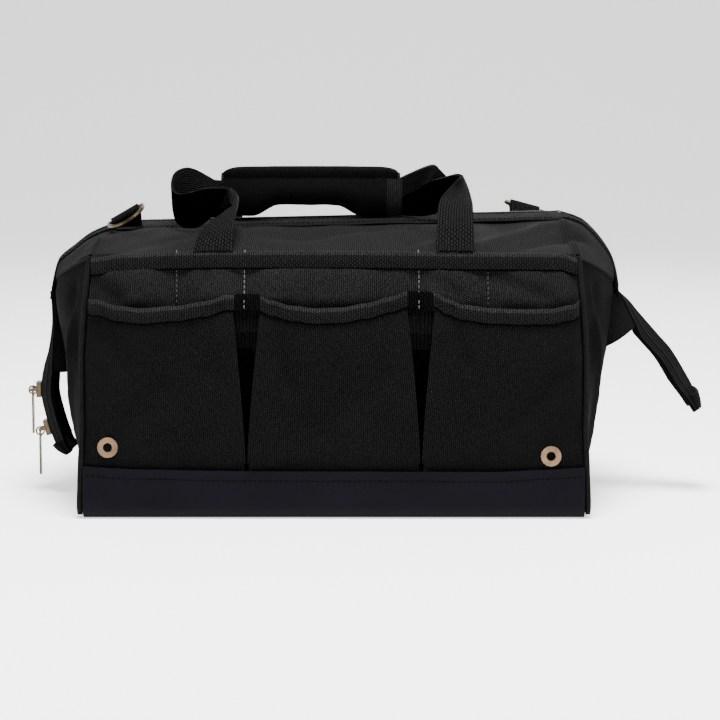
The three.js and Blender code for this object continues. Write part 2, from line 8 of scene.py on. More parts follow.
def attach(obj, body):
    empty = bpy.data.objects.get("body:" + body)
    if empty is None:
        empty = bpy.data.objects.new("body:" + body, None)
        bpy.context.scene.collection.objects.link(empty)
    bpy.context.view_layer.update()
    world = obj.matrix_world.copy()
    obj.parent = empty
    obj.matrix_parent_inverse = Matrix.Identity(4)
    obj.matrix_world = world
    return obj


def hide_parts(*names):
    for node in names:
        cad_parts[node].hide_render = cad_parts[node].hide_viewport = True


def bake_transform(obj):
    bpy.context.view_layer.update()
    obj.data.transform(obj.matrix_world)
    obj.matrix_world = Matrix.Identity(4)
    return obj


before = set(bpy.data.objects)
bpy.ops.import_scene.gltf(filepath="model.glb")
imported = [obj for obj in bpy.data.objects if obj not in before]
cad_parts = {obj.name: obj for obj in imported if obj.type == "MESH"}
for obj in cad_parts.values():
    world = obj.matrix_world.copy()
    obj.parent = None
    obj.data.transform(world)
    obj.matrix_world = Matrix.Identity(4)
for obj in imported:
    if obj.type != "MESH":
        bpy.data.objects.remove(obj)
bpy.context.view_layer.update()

mm = 0.001

# Camera, light and floor
# The bag is seen square on from the front and a little from above, through a
# long lens, in soft white light on a pale sweep.
camera = bpy.data.objects.new("camera", bpy.data.cameras.new("camera"))
bpy.context.scene.collection.objects.link(camera)
bpy.context.scene.camera = camera
camera.data.lens = 110
camera.data.sensor_width = 36
aim = Vector((18, -108, 110.5)) * mm
distance = 1500 * mm
tilt = math.radians(7)
camera.location = aim + distance * Vector((0, -math.cos(tilt), math.sin(tilt)))
camera.rotation_euler = (math.pi / 2 - tilt, 0, 0)


def soft_light(name, place, size, power):
    """A round lamp turned to the bag."""
    lamp = bpy.data.lights.new(name, "AREA")
    lamp.shape = "DISK"
    lamp.size = size
    lamp.energy = power
    light = bpy.data.objects.new(name, lamp)
    bpy.context.scene.collection.objects.link(light)
    light.location = place
    light.rotation_euler = (Vector((0, 0, 0.1)) - Vector(place)).to_track_quat("-Z", "Y").to_euler()


soft_light("top_light", (0.05, -0.5, 1.7), 0.75, 130)
soft_light("left_light", (-1.6, -1.2, 0.8), 1.0, 6)
soft_light("right_light", (1.6, -0.9, 0.9), 1.0, 8)
soft_light("back_light", (0.3, 1.5, 1.3), 1.2, 20)

world = bpy.data.worlds.new("studio")
bpy.context.scene.world = world
world.use_nodes = True
world.node_tree.nodes["Background"].inputs["Color"].default_value = (1, 1, 1, 1)
world.node_tree.nodes["Background"].inputs["Strength"].default_value = 0.1


def paper_sweep(width=24, length=16, front=-5, bend=2.5, radius=2):
    """A wide sheet of white paper, flat under the bag and curving up far behind it, in metres."""
    bm = bmesh.new()
    bmesh.ops.create_grid(bm, x_segments=1, y_segments=60, size=0.5)
    for vert in bm.verts:
        x = vert.co.x * width
        past = (vert.co.y + 0.5) * length + front - bend
        turn = past / radius
        if past < 0:
            vert.co = (x, bend + past, 0)
        elif turn < math.pi / 2:
            vert.co = (x, bend + radius * math.sin(turn), radius - radius * math.cos(turn))
        else:
            vert.co = (x, bend + radius, radius + past - radius * math.pi / 2)
    for face in bm.faces:
        face.smooth = True
    mesh = bpy.data.meshes.new("floor")
    bm.to_mesh(mesh)
    bm.free()
    sweep = bpy.data.objects.new("floor", mesh)
    bpy.context.scene.collection.objects.link(sweep)
    paper = bpy.data.materials.new("paper")
    paper.use_nodes = True
    skin = paper.node_tree.nodes["Principled BSDF"]
    skin.inputs["Base Color"].default_value = (0.86, 0.86, 0.86, 1)
    skin.inputs["Roughness"].default_value = 0.9
    skin.inputs["Specular IOR Level"].default_value = 0
    skin.inputs["Emission Color"].default_value = (1, 1, 1, 1)
    skin.inputs["Emission Strength"].default_value = 1.0
    sweep.data.materials.append(paper)


paper_sweep()

# Walls: front, back and the two ends
# Cut from padded duck, sewn up the four corners, the ends bulging and leaning
# in towards the mouth. The front and back carry a flat pocket layer.
BAND_TOP = 181
GUSSET_TOP = 150
WALL_DEPTH = [(0, 102), (34, 102), (110, 93), (150, 88.5), (BAND_TOP, 82)]
CORNER_LENGTH = [(0, 173.5), (60, 171), (110, 171.5), (150, 169), (BAND_TOP, 166)]
END_LENGTH = [(0, 176), (20, 176.5), (50, 181.8), (80, 189.8), (120, 196.8), (150, 199.8), (BAND_TOP, 195)]
STITCH_LINES = (-171, -108, -61, 58, 106, 171)


def at_height(profile, place):
    """Straight-line value of a profile, a list of (place, value), between its points."""
    for (a, low), (b, high) in zip(profile, profile[1:]):
        if place <= b or b == profile[-1][0]:
            t = min(1, max(0, (place - a) / (b - a)))
            return low + (high - low) * t


def smooth_step(t):
    """Eases from 0 to 1."""
    t = min(1, max(0, t))
    return t * t * (3 - 2 * t)


def crumple(x, z, size, seed):
    """Low soft noise for handled cloth, from -1 to 1."""
    return noise.noise(Vector((x / size, z / size, seed)))


def fold(x, z, start, end, width):
    """Height, 0 to 1, of one soft fold that runs from start to end."""
    (x0, z0), (x1, z1) = start, end
    dx, dz = x1 - x0, z1 - z0
    length = math.hypot(dx, dz)
    t = ((x - x0) * dx + (z - z0) * dz) / length**2
    off = abs((x - x0) * dz - (z - z0) * dx) / length
    ends = smooth_step((t + 0.15) / 0.3) * smooth_step((1.15 - t) / 0.3)
    return math.exp(-((off / width) ** 2)) * ends


def cut_sheet(across, along, width, height):
    """A flat grid of cloth, one unit wide and high, with its cut size in millimetres on its map."""
    bm = bmesh.new()
    bmesh.ops.create_grid(bm, x_segments=across, y_segments=along, size=0.5, calc_uvs=True)
    uv = bm.loops.layers.uv.verify()
    for face in bm.faces:
        for loop in face.loops:
            loop[uv].uv = ((loop.vert.co.x + 0.5) * width * mm, (loop.vert.co.y + 0.5) * height * mm)
    return bm


def turn_outwards(bm, middle):
    """Makes a sheet or sleeve face away from a point in its middle."""
    bmesh.ops.recalc_face_normals(bm, faces=bm.faces)
    facing = sum((f.calc_center_median() - middle).dot(f.normal) * f.calc_area() for f in bm.faces)
    if facing < 0:
        bmesh.ops.reverse_faces(bm, faces=bm.faces)
    bm.normal_update()


def thicken(bm, thickness):
    """Gives a sheet its thickness, inwards from the face it has."""
    bmesh.ops.solidify(bm, geom=bm.verts[:] + bm.edges[:] + bm.faces[:], thickness=thickness * mm)


def finish_piece(name, bm, crisp=True):
    """Turns a mesh into a piece with smooth faces, whose edges over 40 degrees stay crisp."""
    for face in bm.faces:
        face.smooth = True
    bm.normal_update()
    if crisp:
        for edge in bm.edges:
            if len(edge.link_faces) == 2 and edge.calc_face_angle(0) > math.radians(40):
                edge.smooth = False
    mesh = bpy.data.meshes.new(name)
    bm.to_mesh(mesh)
    bm.free()
    piece = bpy.data.objects.new(name, mesh)
    bpy.context.scene.collection.objects.link(piece)
    return piece


def cloth(name, across, along, place, thickness, width, height):
    """A sheet of cloth: place(u, v) gives its outer face in millimetres, width and height its cut size."""
    bm = cut_sheet(across, along, width, height)
    for vert in bm.verts:
        vert.co = Vector(place(vert.co.x + 0.5, vert.co.y + 0.5)) * mm
    turn_outwards(bm, Vector((0, 0, 100)) * mm)
    thicken(bm, thickness)
    return finish_piece(name, bm)


def shader_group(name, inputs, outputs):
    """An empty node group with named sockets, each input a (name, kind, value)."""
    group = bpy.data.node_groups.new(name, "ShaderNodeTree")
    for label, kind, value in inputs:
        socket = group.interface.new_socket(label, in_out="INPUT", socket_type=kind)
        if value is not None:
            socket.default_value = value
    for label, kind in outputs:
        group.interface.new_socket(label, in_out="OUTPUT", socket_type=kind)
    return group, group.nodes.new("NodeGroupInput"), group.nodes.new("NodeGroupOutput")


def maths(tree, operation, a, b=None, c=None):
    """One Math node; a, b and c are sockets or numbers."""
    node = tree.nodes.new("ShaderNodeMath")
    node.operation = operation
    for socket, value in zip(node.inputs, (a, b, c)):
        if value is None:
            continue
        if isinstance(value, (int, float)):
            socket.default_value = value
        else:
            tree.links.new(value, socket)
    return node.outputs[0]


def make_weave_group():
    """Plain weave with upright ribs, read from a map in metres: thread height and a thread mask."""
    group, given, out = shader_group(
        "weave",
        [
            ("Map", "NodeSocketVector", None), ("Rib", "NodeSocketFloat", 1.2), ("Pick", "NodeSocketFloat", 0.9),
            ("Contrast", "NodeSocketFloat", 0.8),
        ],
        [("Height", "NodeSocketFloat"), ("Tone", "NodeSocketFloat")],
    )
    split = group.nodes.new("ShaderNodeSeparateXYZ")
    group.links.new(given.outputs["Map"], split.inputs[0])
    across = maths(group, "DIVIDE", maths(group, "MULTIPLY", split.outputs[0], 1000), given.outputs["Rib"])
    along = maths(group, "DIVIDE", maths(group, "MULTIPLY", split.outputs[1], 1000), given.outputs["Pick"])
    parity = maths(group, "MULTIPLY", maths(group, "FLOOR", across), 0.5)
    rib = maths(group, "ABSOLUTE", maths(group, "SINE", maths(group, "MULTIPLY", across, math.pi)))
    pick = maths(group, "SINE", maths(group, "MULTIPLY", maths(group, "ADD", along, parity), 2 * math.pi))
    height = maths(group, "MULTIPLY", rib, maths(group, "MULTIPLY_ADD", pick, 0.3, 0.7))
    thread = maths(group, "MULTIPLY", maths(group, "SUBTRACT", height, 0.45), given.outputs["Contrast"])
    tone = maths(group, "ADD", thread, -1.55)
    for scale, weight in (((1500, 260, 1), 1.9), ((1100, 900, 1), 2.1)):
        threads = group.nodes.new("ShaderNodeTexNoise")
        stretch = group.nodes.new("ShaderNodeMapping")
        stretch.inputs["Scale"].default_value = scale
        group.links.new(given.outputs["Map"], stretch.inputs[0])
        group.links.new(stretch.outputs[0], threads.inputs["Vector"])
        threads.inputs["Detail"].default_value = 1
        threads.inputs["Scale"].default_value = 1
        tone = maths(group, "MULTIPLY_ADD", threads.outputs[0], weight, tone)
    group.links.new(height, out.inputs["Height"])
    group.links.new(tone, out.inputs["Tone"])
    return group


def make_wear_group():
    """Broad fading and pale dust in the cloth, 0 to 1, from the object's own coordinates."""
    group, given, out = shader_group(
        "wear",
        [("Place", "NodeSocketVector", None), ("Size", "NodeSocketFloat", 22.0)],
        [("Fade", "NodeSocketFloat"), ("Lint", "NodeSocketFloat")],
    )
    broad = group.nodes.new("ShaderNodeTexNoise")
    broad.inputs["Detail"].default_value = 4
    group.links.new(given.outputs["Place"], broad.inputs["Vector"])
    group.links.new(given.outputs["Size"], broad.inputs["Scale"])
    lint = group.nodes.new("ShaderNodeTexNoise")
    lint.inputs["Scale"].default_value = 1500
    lint.inputs["Detail"].default_value = 1
    group.links.new(given.outputs["Place"], lint.inputs["Vector"])
    specks = maths(group, "MULTIPLY", maths(group, "SUBTRACT", lint.outputs[0], 0.71), 9)
    clamped = maths(group, "MINIMUM", maths(group, "MAXIMUM", specks, 0), 1)
    group.links.new(broad.outputs[0], out.inputs["Fade"])
    group.links.new(clamped, out.inputs["Lint"])
    return group


weave = make_weave_group()
wear = make_wear_group()


def two_tone(name, dark, light, patch=22.0):
    """A material that goes from dark to light; patch is the size of the wear group's fading."""
    material = bpy.data.materials.new(name)
    material.use_nodes = True
    tree = material.node_tree
    skin = tree.nodes["Principled BSDF"]
    place = tree.nodes.new("ShaderNodeTexCoord")
    use = tree.nodes.new("ShaderNodeGroup")
    use.node_tree = wear
    use.inputs["Size"].default_value = patch
    tree.links.new(place.outputs["Object"], use.inputs["Place"])
    tone = tree.nodes.new("ShaderNodeMix")
    tone.data_type = "RGBA"
    tone.inputs["A"].default_value = (*dark, 1)
    tone.inputs["B"].default_value = (*light, 1)
    tree.links.new(tone.outputs["Result"], skin.inputs["Base Color"])
    return material, tree, skin, place, use, tone


def woven(name, dark, light, rib, pick, contrast=0.8, bump=1.0, shine=0.06, mapped=True):
    """A grey cloth: dark between its threads, light on them. Unmapped, it runs along x and round it."""
    material, tree, skin, place, use, tone = two_tone(name, (dark,) * 3, (light,) * 3)
    skin.inputs["Roughness"].default_value = 0.9
    skin.inputs["Specular IOR Level"].default_value = shine
    threads = tree.nodes.new("ShaderNodeGroup")
    threads.node_tree = weave
    threads.inputs["Rib"].default_value = rib
    threads.inputs["Pick"].default_value = pick
    threads.inputs["Contrast"].default_value = contrast
    if mapped:
        tree.links.new(place.outputs["UV"], threads.inputs["Map"])
    else:
        split = tree.nodes.new("ShaderNodeSeparateXYZ")
        tree.links.new(place.outputs["Object"], split.inputs[0])
        flat = tree.nodes.new("ShaderNodeCombineXYZ")
        tree.links.new(split.outputs[0], flat.inputs[0])
        tree.links.new(maths(tree, "SUBTRACT", split.outputs[2], split.outputs[1]), flat.inputs[1])
        tree.links.new(flat.outputs[0], threads.inputs["Map"])
    level = maths(tree, "MULTIPLY_ADD", use.outputs["Fade"], 0.5, -0.25)
    tree.links.new(maths(tree, "ADD", threads.outputs["Tone"], level), tone.inputs["Factor"])
    dusty = tree.nodes.new("ShaderNodeMix")
    dusty.data_type = "RGBA"
    lint_grey = 0.05
    dusty.inputs["B"].default_value = (lint_grey, lint_grey, lint_grey, 1)
    tree.links.new(tone.outputs["Result"], dusty.inputs["A"])
    tree.links.new(maths(tree, "MULTIPLY", use.outputs["Lint"], 0.25), dusty.inputs["Factor"])
    tree.links.new(dusty.outputs["Result"], skin.inputs["Base Color"])
    relief = tree.nodes.new("ShaderNodeBump")
    relief.inputs["Strength"].default_value = bump
    relief.inputs["Distance"].default_value = 0.4 * mm
    tree.links.new(threads.outputs["Height"], relief.inputs["Height"])
    tree.links.new(relief.outputs["Normal"], skin.inputs["Normal"])
    return material


duck = woven("black_duck", 0.0001, 0.0045, 1.45, 1.3, 2.0, shine=0.04)
# Duck painted lighter as painted light: it stands in for the top lamp on the faces that tilt up to it, the roof's
# middle and the flat pockets, and on the lit binding at the grip's end.
painted_lit_duck = woven("duck_with_painted_light", 0.0003, 0.0112, 1.45, 1.3, 1.9)
# Duck painted darker as painted shade, for the end walls, the top step down the open pleats and the left gore.
end_duck_painted_shade = woven("end_duck_painted_shade", 0.0001, 0.0034, 1.45, 1.3, 1.8, shine=0.03)
# Painted shade: nearly black duck for the lower parts of the open pleats and the shadow line under each binding.
shaded_duck = woven("shaded_duck", 0, 0.0006, 1.45, 1.3, shine=0.0)


def corner_x(z):
    """Half length of the bag at its corner seams."""
    return at_height(CORNER_LENGTH, z)


def wall_y(z):
    """Half depth of the bag at its front and back walls."""
    return at_height(WALL_DEPTH, z)


def flat_layer(name, side, depth, low, high, thickness, sag):
    """A front or back sheet: depth is how far its outer face stands off the wall."""

    def place(u, v):
        z = low + (high - low) * v
        x = (2 * u - 1) * (corner_x(z) - 0.3)
        return x, side * (wall_y(z) + depth + sag(x, z)), z

    return cloth(name, 110, 50, place, thickness, 343, high - low)


def upper_sag(x, z):
    """The flat pockets stand a little off the wall between their stitch lines."""
    off = min(abs(x - line) for line in STITCH_LINES)
    loose = smooth_step(off / 16) * smooth_step((BAND_TOP - z) / 14) * smooth_step((z - 140) / 10)
    dent = 4.0 * fold(x, z, (-166, 160), (-146, 148), 7) + 2.8 * fold(x, z, (98, 170), (150, 150), 5)
    dent += 2.4 * fold(x, z, (66, 166), (90, 150), 5) + 2.0 * fold(x, z, (-84, 168), (-100, 150), 5)
    return loose * 3.0 - dent * loose + 1.8 * crumple(x, z, 26, 2.0) * loose


def own(piece, material, slot, body, *nodes):
    """Gives a piece its material, what carries it and the part it stands for; slot is not used."""
    piece.data.materials.append(material)
    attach(piece, body)
    if nodes:
        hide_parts(*nodes)
    return piece


for side, face in ((-1, "front"), (1, "back")):
    panel = flat_layer(f"{face}_wall", side, 0, 6.5, BAND_TOP, 2.2, lambda x, z: 0)
    own(panel, duck, "canvas", "shell", f"{face}_panel")
    # The flat pockets tilt up to the top lamp and take the duck painted lighter as painted light.
    flat_pocket = flat_layer(f"{face}_flat_pockets", side, 2.2, 9.5, BAND_TOP, 1.6, upper_sag)
    own(flat_pocket, painted_lit_duck, "canvas", "shell", f"{face}_upper_pocket")
    lining = flat_layer(f"{face}_inside_pocket", side, -4.8, 12, 112, 1.4, lambda x, z: 0)
    own(lining, painted_lit_duck, "panel_grey", "shell", f"{face}_inner_pocket")


def gusset_x(across, z):
    """The end wall's outer face: flat at its seams, bulging in the middle."""
    return corner_x(z) + (at_height(END_LENGTH, z) - corner_x(z)) * (1 - across * across)


def end_wall(end, name):
    """A padded end, tucked in at its foot and creased from its corners."""

    def place(u, v):
        across = 2 * u - 1
        top = GUSSET_TOP + (BAND_TOP - GUSSET_TOP) * abs(across)
        z = 0.3 + (top - 0.3) * v
        y = across * (wall_y(z) + 2.2 - 9 * (1 - smooth_step(z / 9)))
        edge = smooth_step((1 - abs(across)) / 0.15)
        crease = 0
        for turn in (-1, 1):
            crease += 1.6 * fold(y, z, (60 * turn, 40), (78 * turn, 150), 5)
            crease -= 1.6 * fold(y, z, (38 * turn, 30), (30 * turn, 120), 9)
            crease -= 1.4 * fold(y, z, (88 * turn, 100), (70 * turn, 160), 6)
        x = gusset_x(across, z) + 2.2 - 3 * (1 - smooth_step(z / 6))
        x += edge * (2.0 * crease + 2.2 * crumple(y, z, 42, 5.0 + end))
        return end * x, y, z

    return cloth(name, 72, 64, place, 2.0, 210, 175)


for end, face in ((-1, "left"), (1, "right")):
    # The end walls take the darker duck of painted shade.
    own(end_wall(end, f"{face}_end_wall"), end_duck_painted_shade, "panel_grey", "shell", f"{face}_gusset")

# Boot: the coated trough that the whole bag stands in
# Moulded-coated fabric in one piece, turned up front and back and topstitched
# to the walls, its bottom edges rounded by the board inside.
BOOT_TOP = [(-174, 37), (-139, 34.7), (-64, 33.3), (5, 33), (116, 32.8), (148, 34.7), (174, 36)]
BOOT_LENGTH = 172.4
BOOT_DEPTH = 108
BOOT_BEND = 9


def boot_point(u, v):
    """Down the front, round the bottom edge, flat under the bag, and the same again up the back."""
    x = (2 * u - 1) * (BOOT_LENGTH + 0.4 * math.sin(9 * v))
    top = at_height(BOOT_TOP, x)
    side = -1 if v < 0.5 else 1
    t = 1 - abs(2 * v - 1)
    if t < 0.3:
        y = BOOT_DEPTH + 0.5 * crumple(x, t * 60, 40, 8.0 + side)
        return x, side * y, top - (top - BOOT_BEND) * t / 0.3
    if t < 0.5:
        a = (t - 0.3) / 0.2 * math.pi / 2
        return x, side * (BOOT_DEPTH - BOOT_BEND * (1 - math.cos(a))), BOOT_BEND * (1 - math.sin(a))
    return x, side * (BOOT_DEPTH - BOOT_BEND) * (1 - (t - 0.5) / 0.5), 0


def coated_fabric():
    """Coated black cloth: a faint grain under a dull polish, scuffed in places."""
    dark, light = (0.0007, 0.0005, 0.0015), (0.0036, 0.0030, 0.0052)
    material, tree, skin, place, use, tone = two_tone("coated_cloth", dark, light, 30)
    skin.inputs["Specular IOR Level"].default_value = 0.045
    tree.links.new(use.outputs["Fade"], tone.inputs["Factor"])
    polish = maths(tree, "MULTIPLY_ADD", use.outputs["Fade"], 0.25, 0.48)
    tree.links.new(polish, skin.inputs["Roughness"])
    grain = tree.nodes.new("ShaderNodeTexVoronoi")
    grain.inputs["Scale"].default_value = 900
    tree.links.new(place.outputs["Object"], grain.inputs["Vector"])
    relief = tree.nodes.new("ShaderNodeBump")
    relief.inputs["Strength"].default_value = 0.25
    relief.inputs["Distance"].default_value = 0.2 * mm
    tree.links.new(grain.outputs["Distance"], relief.inputs["Height"])
    tree.links.new(relief.outputs["Normal"], skin.inputs["Normal"])
    return material


coated = coated_fabric()
boot = cloth("boot", 70, 80, boot_point, 2.6, 345, 284)
own(boot, coated, "coated_base", "shell", "base_boot")

# Bellows pockets: three in a row on the front and on the back
# One strip of duck pleated between the pockets, sewn to the wall at its ends
# and under the boot's edge, its bound top sagging between the pleats.
POCKET_TOP = [
    (-172, 150), (-161, 149.4), (-148, 145.5), (-132, 143.9), (-108, 145.6), (-88, 148.5), (-73, 152.4),
    (-53, 152.8), (-43, 148.7), (-29, 145.7), (-13, 143.9), (5, 144.4), (22, 147.1), (39, 151.3), (51, 154.6),
    (69, 154.4), (78, 149.6), (88, 146.3), (109, 143.8), (129, 143.2), (148, 143.4), (162, 146), (172, 150),
]
PLEATS = (-60, 60)
POCKET_END = 172
POCKET_FOOT = 33
PLEAT_TUCK = 0.045
STAND_MIDDLE = [(0, 0.2), (34, 0.2), (39, 2.4), (46, 3.8), (70, 7), (110, 10), (143, 10.5), (160, 10)]
STAND_EDGE = [(0, 0.2), (34, 0.2), (39, 2.4), (60, 5), (90, 6.5), (128, 6), (142, 3), (150, 0.8), (160, 0.8)]


def along_x(line, x):
    """Height of a sewn line, a list of (x, z), eased between its points."""
    for (x0, z0), (x1, z1) in zip(line, line[1:]):
        if x <= x1 or x1 == line[-1][0]:
            t = min(1, max(0, (x - x0) / (x1 - x0)))
            return z0 + (z1 - z0) * smooth_step(t)


def pleat_half(z):
    """Half width of the open pleat: wide under the binding, nothing at the boot."""
    open_part = 0.4 + 9.0 * max(0, (z - 34) / 108) ** 1.4
    return open_part * (1 - 0.4 * smooth_step((z - 144) / 6))


def from_pleat(x):
    """Distance to the nearer pleat's middle."""
    return min(abs(x - pleat) for pleat in PLEATS)


def pocket_stand(x, z):
    """How far the pocket's face stands off the flat pockets behind it."""
    middle, edge = at_height(STAND_MIDDLE, z), at_height(STAND_EDGE, z)
    loose = smooth_step((from_pleat(x) - pleat_half(z)) / 26)
    sway = 2.6 * crumple(x, z, 46, 11.0) * loose * smooth_step((z - 40) / 30)
    dip = 2.2 * fold(x, z, (-74, 142), (-84, 96), 6) + 1.4 * fold(x, z, (-166, 138), (-140, 100), 8)
    dip += 2.4 * fold(x, z, (-47, 140), (-30, 88), 6) + 2.2 * fold(x, z, (46, 142), (34, 92), 6)
    dip += 2.6 * fold(x, z, (76, 142), (92, 104), 6) + 1.6 * fold(x, z, (118, 58), (163, 104), 8)
    dip += 1.4 * fold(x, z, (-150, 56), (-112, 96), 9) + 1.2 * fold(x, z, (-14, 60), (24, 92), 10)
    return edge + (middle - edge) * loose + sway - 1.5 * dip * loose


def pocket_face(x, z):
    """Depth of the pockets' outer face, rounded off towards the corner seams."""
    seam = (corner_x(z) - 0.5 - abs(x)) / 9
    tuck = math.sqrt(max(0, 1 - (1 - min(1, max(0, seam))) ** 2))
    return wall_y(z) + 2.8 + pocket_stand(x, z) * tuck


def pocket(name, side, x0, x1):
    """One pocket from the middle of the pleat at its left to that at its right."""

    def place(u, v):
        z = POCKET_FOOT + (along_x(POCKET_TOP, x0 + (x1 - x0) * u) - POCKET_FOOT) * v
        edges = []
        for start, turn, t in ((x0, 1, u), (x1, -1, 1 - u)):
            if start not in PLEATS:
                edges.append((-turn * corner_x(z), 0))
                continue
            edge = start + turn * pleat_half(z)
            edges.append((edge, 2 * PLEAT_TUCK))
            back = wall_y(z) + 2.9
            if t <= PLEAT_TUCK:
                return start + (edge + 1.5 * turn - start) * t / PLEAT_TUCK, side * back, z
            if t <= 2 * PLEAT_TUCK:
                s = (t - PLEAT_TUCK) / PLEAT_TUCK
                bow = math.sin(s * math.pi / 2)
                x = edge + 1.5 * turn * (1 - s) - 0.6 * turn * math.sin(s * math.pi)
                return x, side * (back + (pocket_face(edge, z) - back) * bow), z
        (left, left_reach), (right, right_reach) = edges
        x = left + (right - left) * (u - left_reach) / (1 - left_reach - right_reach)
        return x, side * pocket_face(x, z), z

    return cloth(name, 100, 44, place, 1.5, abs(x1 - x0) + 20, 112)


def bound_edge(name, node, x0, x1, side, top, face, drop, across):
    """Binding tape folded over a cloth's top edge: drop is how far it reaches down outside."""
    wrap = [
        (-drop - 1, 0.6), (-drop, 1.3), (-drop * 0.5, 2.2), (-1.8, 2.2), (0.3, 1.2), (0.8, -0.6), (0.1, -2.6),
        (-6, -2.9),
    ]

    def place(u, v):
        x = x0 + (x1 - x0) * u
        k = min(len(wrap) - 2, int(v * (len(wrap) - 1)))
        t = v * (len(wrap) - 1) - k
        down = wrap[k][0] + (wrap[k + 1][0] - wrap[k][0]) * t
        out = wrap[k][1] + (wrap[k + 1][1] - wrap[k][1]) * t
        z = top(x) + 0.6 + down
        wave = 0.25 * crumple(x, z, 9, 21.0)
        return x, side * (face(x, z) + out + wave), z

    tape = cloth(name, across, 28, place, 0.9, abs(x1 - x0), 20)
    for material in (twill, worn_and_highlit_twill, shaded_duck):
        tape.data.materials.append(material)
    # Painted light on the tape: its folded top edge takes the lighter twill as a painted highlight, and its lowest
    # row outside, below drop, the near black duck as a painted shadow line.
    for facet in tape.data.polygons:
        x, y, z = facet.center / mm
        under = top(x) + 0.6 - z
        front = abs(y) > face(x, z) - 0.5
        facet.material_index = 1 if under < 1.9 else 2 if under > drop and front else 0
    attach(tape, "shell")
    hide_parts(node)
    return tape


# Lighter twill for the bindings' folded top edge and the straps' rims: a painted highlight where they turn up to
# the top lamp, over some real rubbing.
worn_and_highlit_twill = woven("worn_and_highlit_twill", 0.0005, 0.017, 1.6, 1.6, 2.0, 1.4)
twill = woven("binding_twill", 0.0001, 0.0062, 1.6, 1.6, 2.6, 1.4)
# Painted shade: darker twill where a binding dips into an open pleat, also the middle step down the pleat.
recess_shade_twill = woven("recess_shade_twill", 0, 0.0018, 1.6, 1.6, 2.6, 1.4, shine=0.02)
POCKETS = (("left", -POCKET_END, PLEATS[0]), ("mid", *PLEATS), ("right", PLEATS[1], POCKET_END))


def pocket_top(x):
    """The fold of the pockets' binding."""
    return along_x(POCKET_TOP, x)


for side, face in ((-1, "front"), (1, "back")):
    for spot, x0, x1 in POCKETS:
        bellows = pocket(f"{face}_{spot}_bellows", side, x0, x1)
        own(bellows, duck, "canvas", "shell", f"{face}_pocket_{spot}")
        for material in (shaded_duck, recess_shade_twill, end_duck_painted_shade):
            bellows.data.materials.append(material)
        # Painted shade in the open pleats: the cloth set back between two pockets is darker in three steps, darkest
        # lowest down.
        for facet in bellows.data.polygons:
            x, y, z = facet.center / mm
            if from_pleat(x) < pleat_half(z) + 1 and abs(y) < wall_y(z) + 4.6:
                facet.material_index = 3 if z > 128 else 2 if z > 116 else 1
        start, stop = max(x0, 3 - POCKET_END), min(x1, POCKET_END - 3)
        node = f"{face}_pocket_binding_{spot}"
        name = f"{face}_{spot}_pocket_edge"
        edge = bound_edge(name, node, start, stop, side, pocket_top, pocket_face, 9.5, 90)
        # Painted shade where the binding dips into an open pleat.
        edge.data.materials.append(recess_shade_twill)
        for facet in edge.data.polygons:
            if from_pleat(facet.center.x / mm) < 9:
                facet.material_index = 3

# Hem band: twill tape bound over the top of the walls
# It finishes the flat pockets' upper edge and takes the roof's seam and the
# feet of the carrying straps.
BAND_LINE = [
    (-168, 178.5), (-143, 181.5), (-110, 182.9), (-80, 183.5), (5, 183.5), (111, 182.2), (155, 182.0), (168, 178.5),
]


def band_fold(x):
    return along_x(BAND_LINE, x) - 1.5


def band_back(x, z):
    return wall_y(z) + 4.0


for side, face in ((-1, "front"), (1, "back")):
    bound_edge(f"{face}_band", f"{face}_hem_binding", -167, 167, side, band_fold, band_back, 10.5, 220)

# Roof: the soft top between the hem band and the mouth
# Unpadded duck in one piece a side, darted round both ends down to the end
# walls.
RISE = 0.022  # the mouth stands a little higher at the right
LEFT_END = [(203.5, 151.5), (201, 163), (197.5, 172), (188, 179.5), (177, 188), (166, 193), (155, 196.5)]
RIGHT_END = [(203.8, 151.5), (202, 162), (199, 172), (194, 181), (186, 191), (176, 199.5), (160, 204.5)]


def along_path(points, t):
    """A smooth line through points, at t from 0 to 1."""
    steps = len(points) - 1
    k = min(steps - 1, int(t * steps))
    s = t * steps - k
    near = [Vector(points[min(steps, max(0, k + i))]) for i in (-1, 0, 1, 2)]
    a, b, c, d = near
    return 0.5 * ((2 * b) + (c - a) * s + (2 * a - 5 * b + 4 * c - d) * s**2 + (3 * b - a - 3 * c + d) * s**3)


def from_end(u):
    """How far u has gone from an end's middle to its corner seam, 1 all along the side."""
    return min(1, u / 0.25, (1 - u) / 0.25)


def roof_eaves(u, side):
    """The roof's lower edge, u from the left end's middle along one side to the right end's middle."""
    end = from_end(u)
    if end == 1:
        x = 4 * (u - 0.5) * (corner_x(BAND_TOP) + 1)
        return Vector((x, side * (wall_y(BAND_TOP) + 3.0), along_x(BAND_LINE, x) - 2.0))
    z = GUSSET_TOP + (BAND_TOP - 3 - GUSSET_TOP) * end
    x = math.copysign(gusset_x(end, z) + 3.4, u - 0.5)
    return Vector((x, side * end * (wall_y(z) + 3.0), z + 0.5))


def roof_ridge(u, side):
    """The roof's upper edge, beside the zip."""
    end = from_end(u)
    if end == 1:
        x = 4 * (u - 0.5) * 155
        return Vector((x, side * 19.2, 198.2 + RISE * x))
    line = LEFT_END if u < 0.5 else RIGHT_END
    x, z = along_path(line, end)
    return Vector((math.copysign(x, u - 0.5), side * (0.5 + 18.7 * smooth_step(end / 0.35)), z - 1.2))


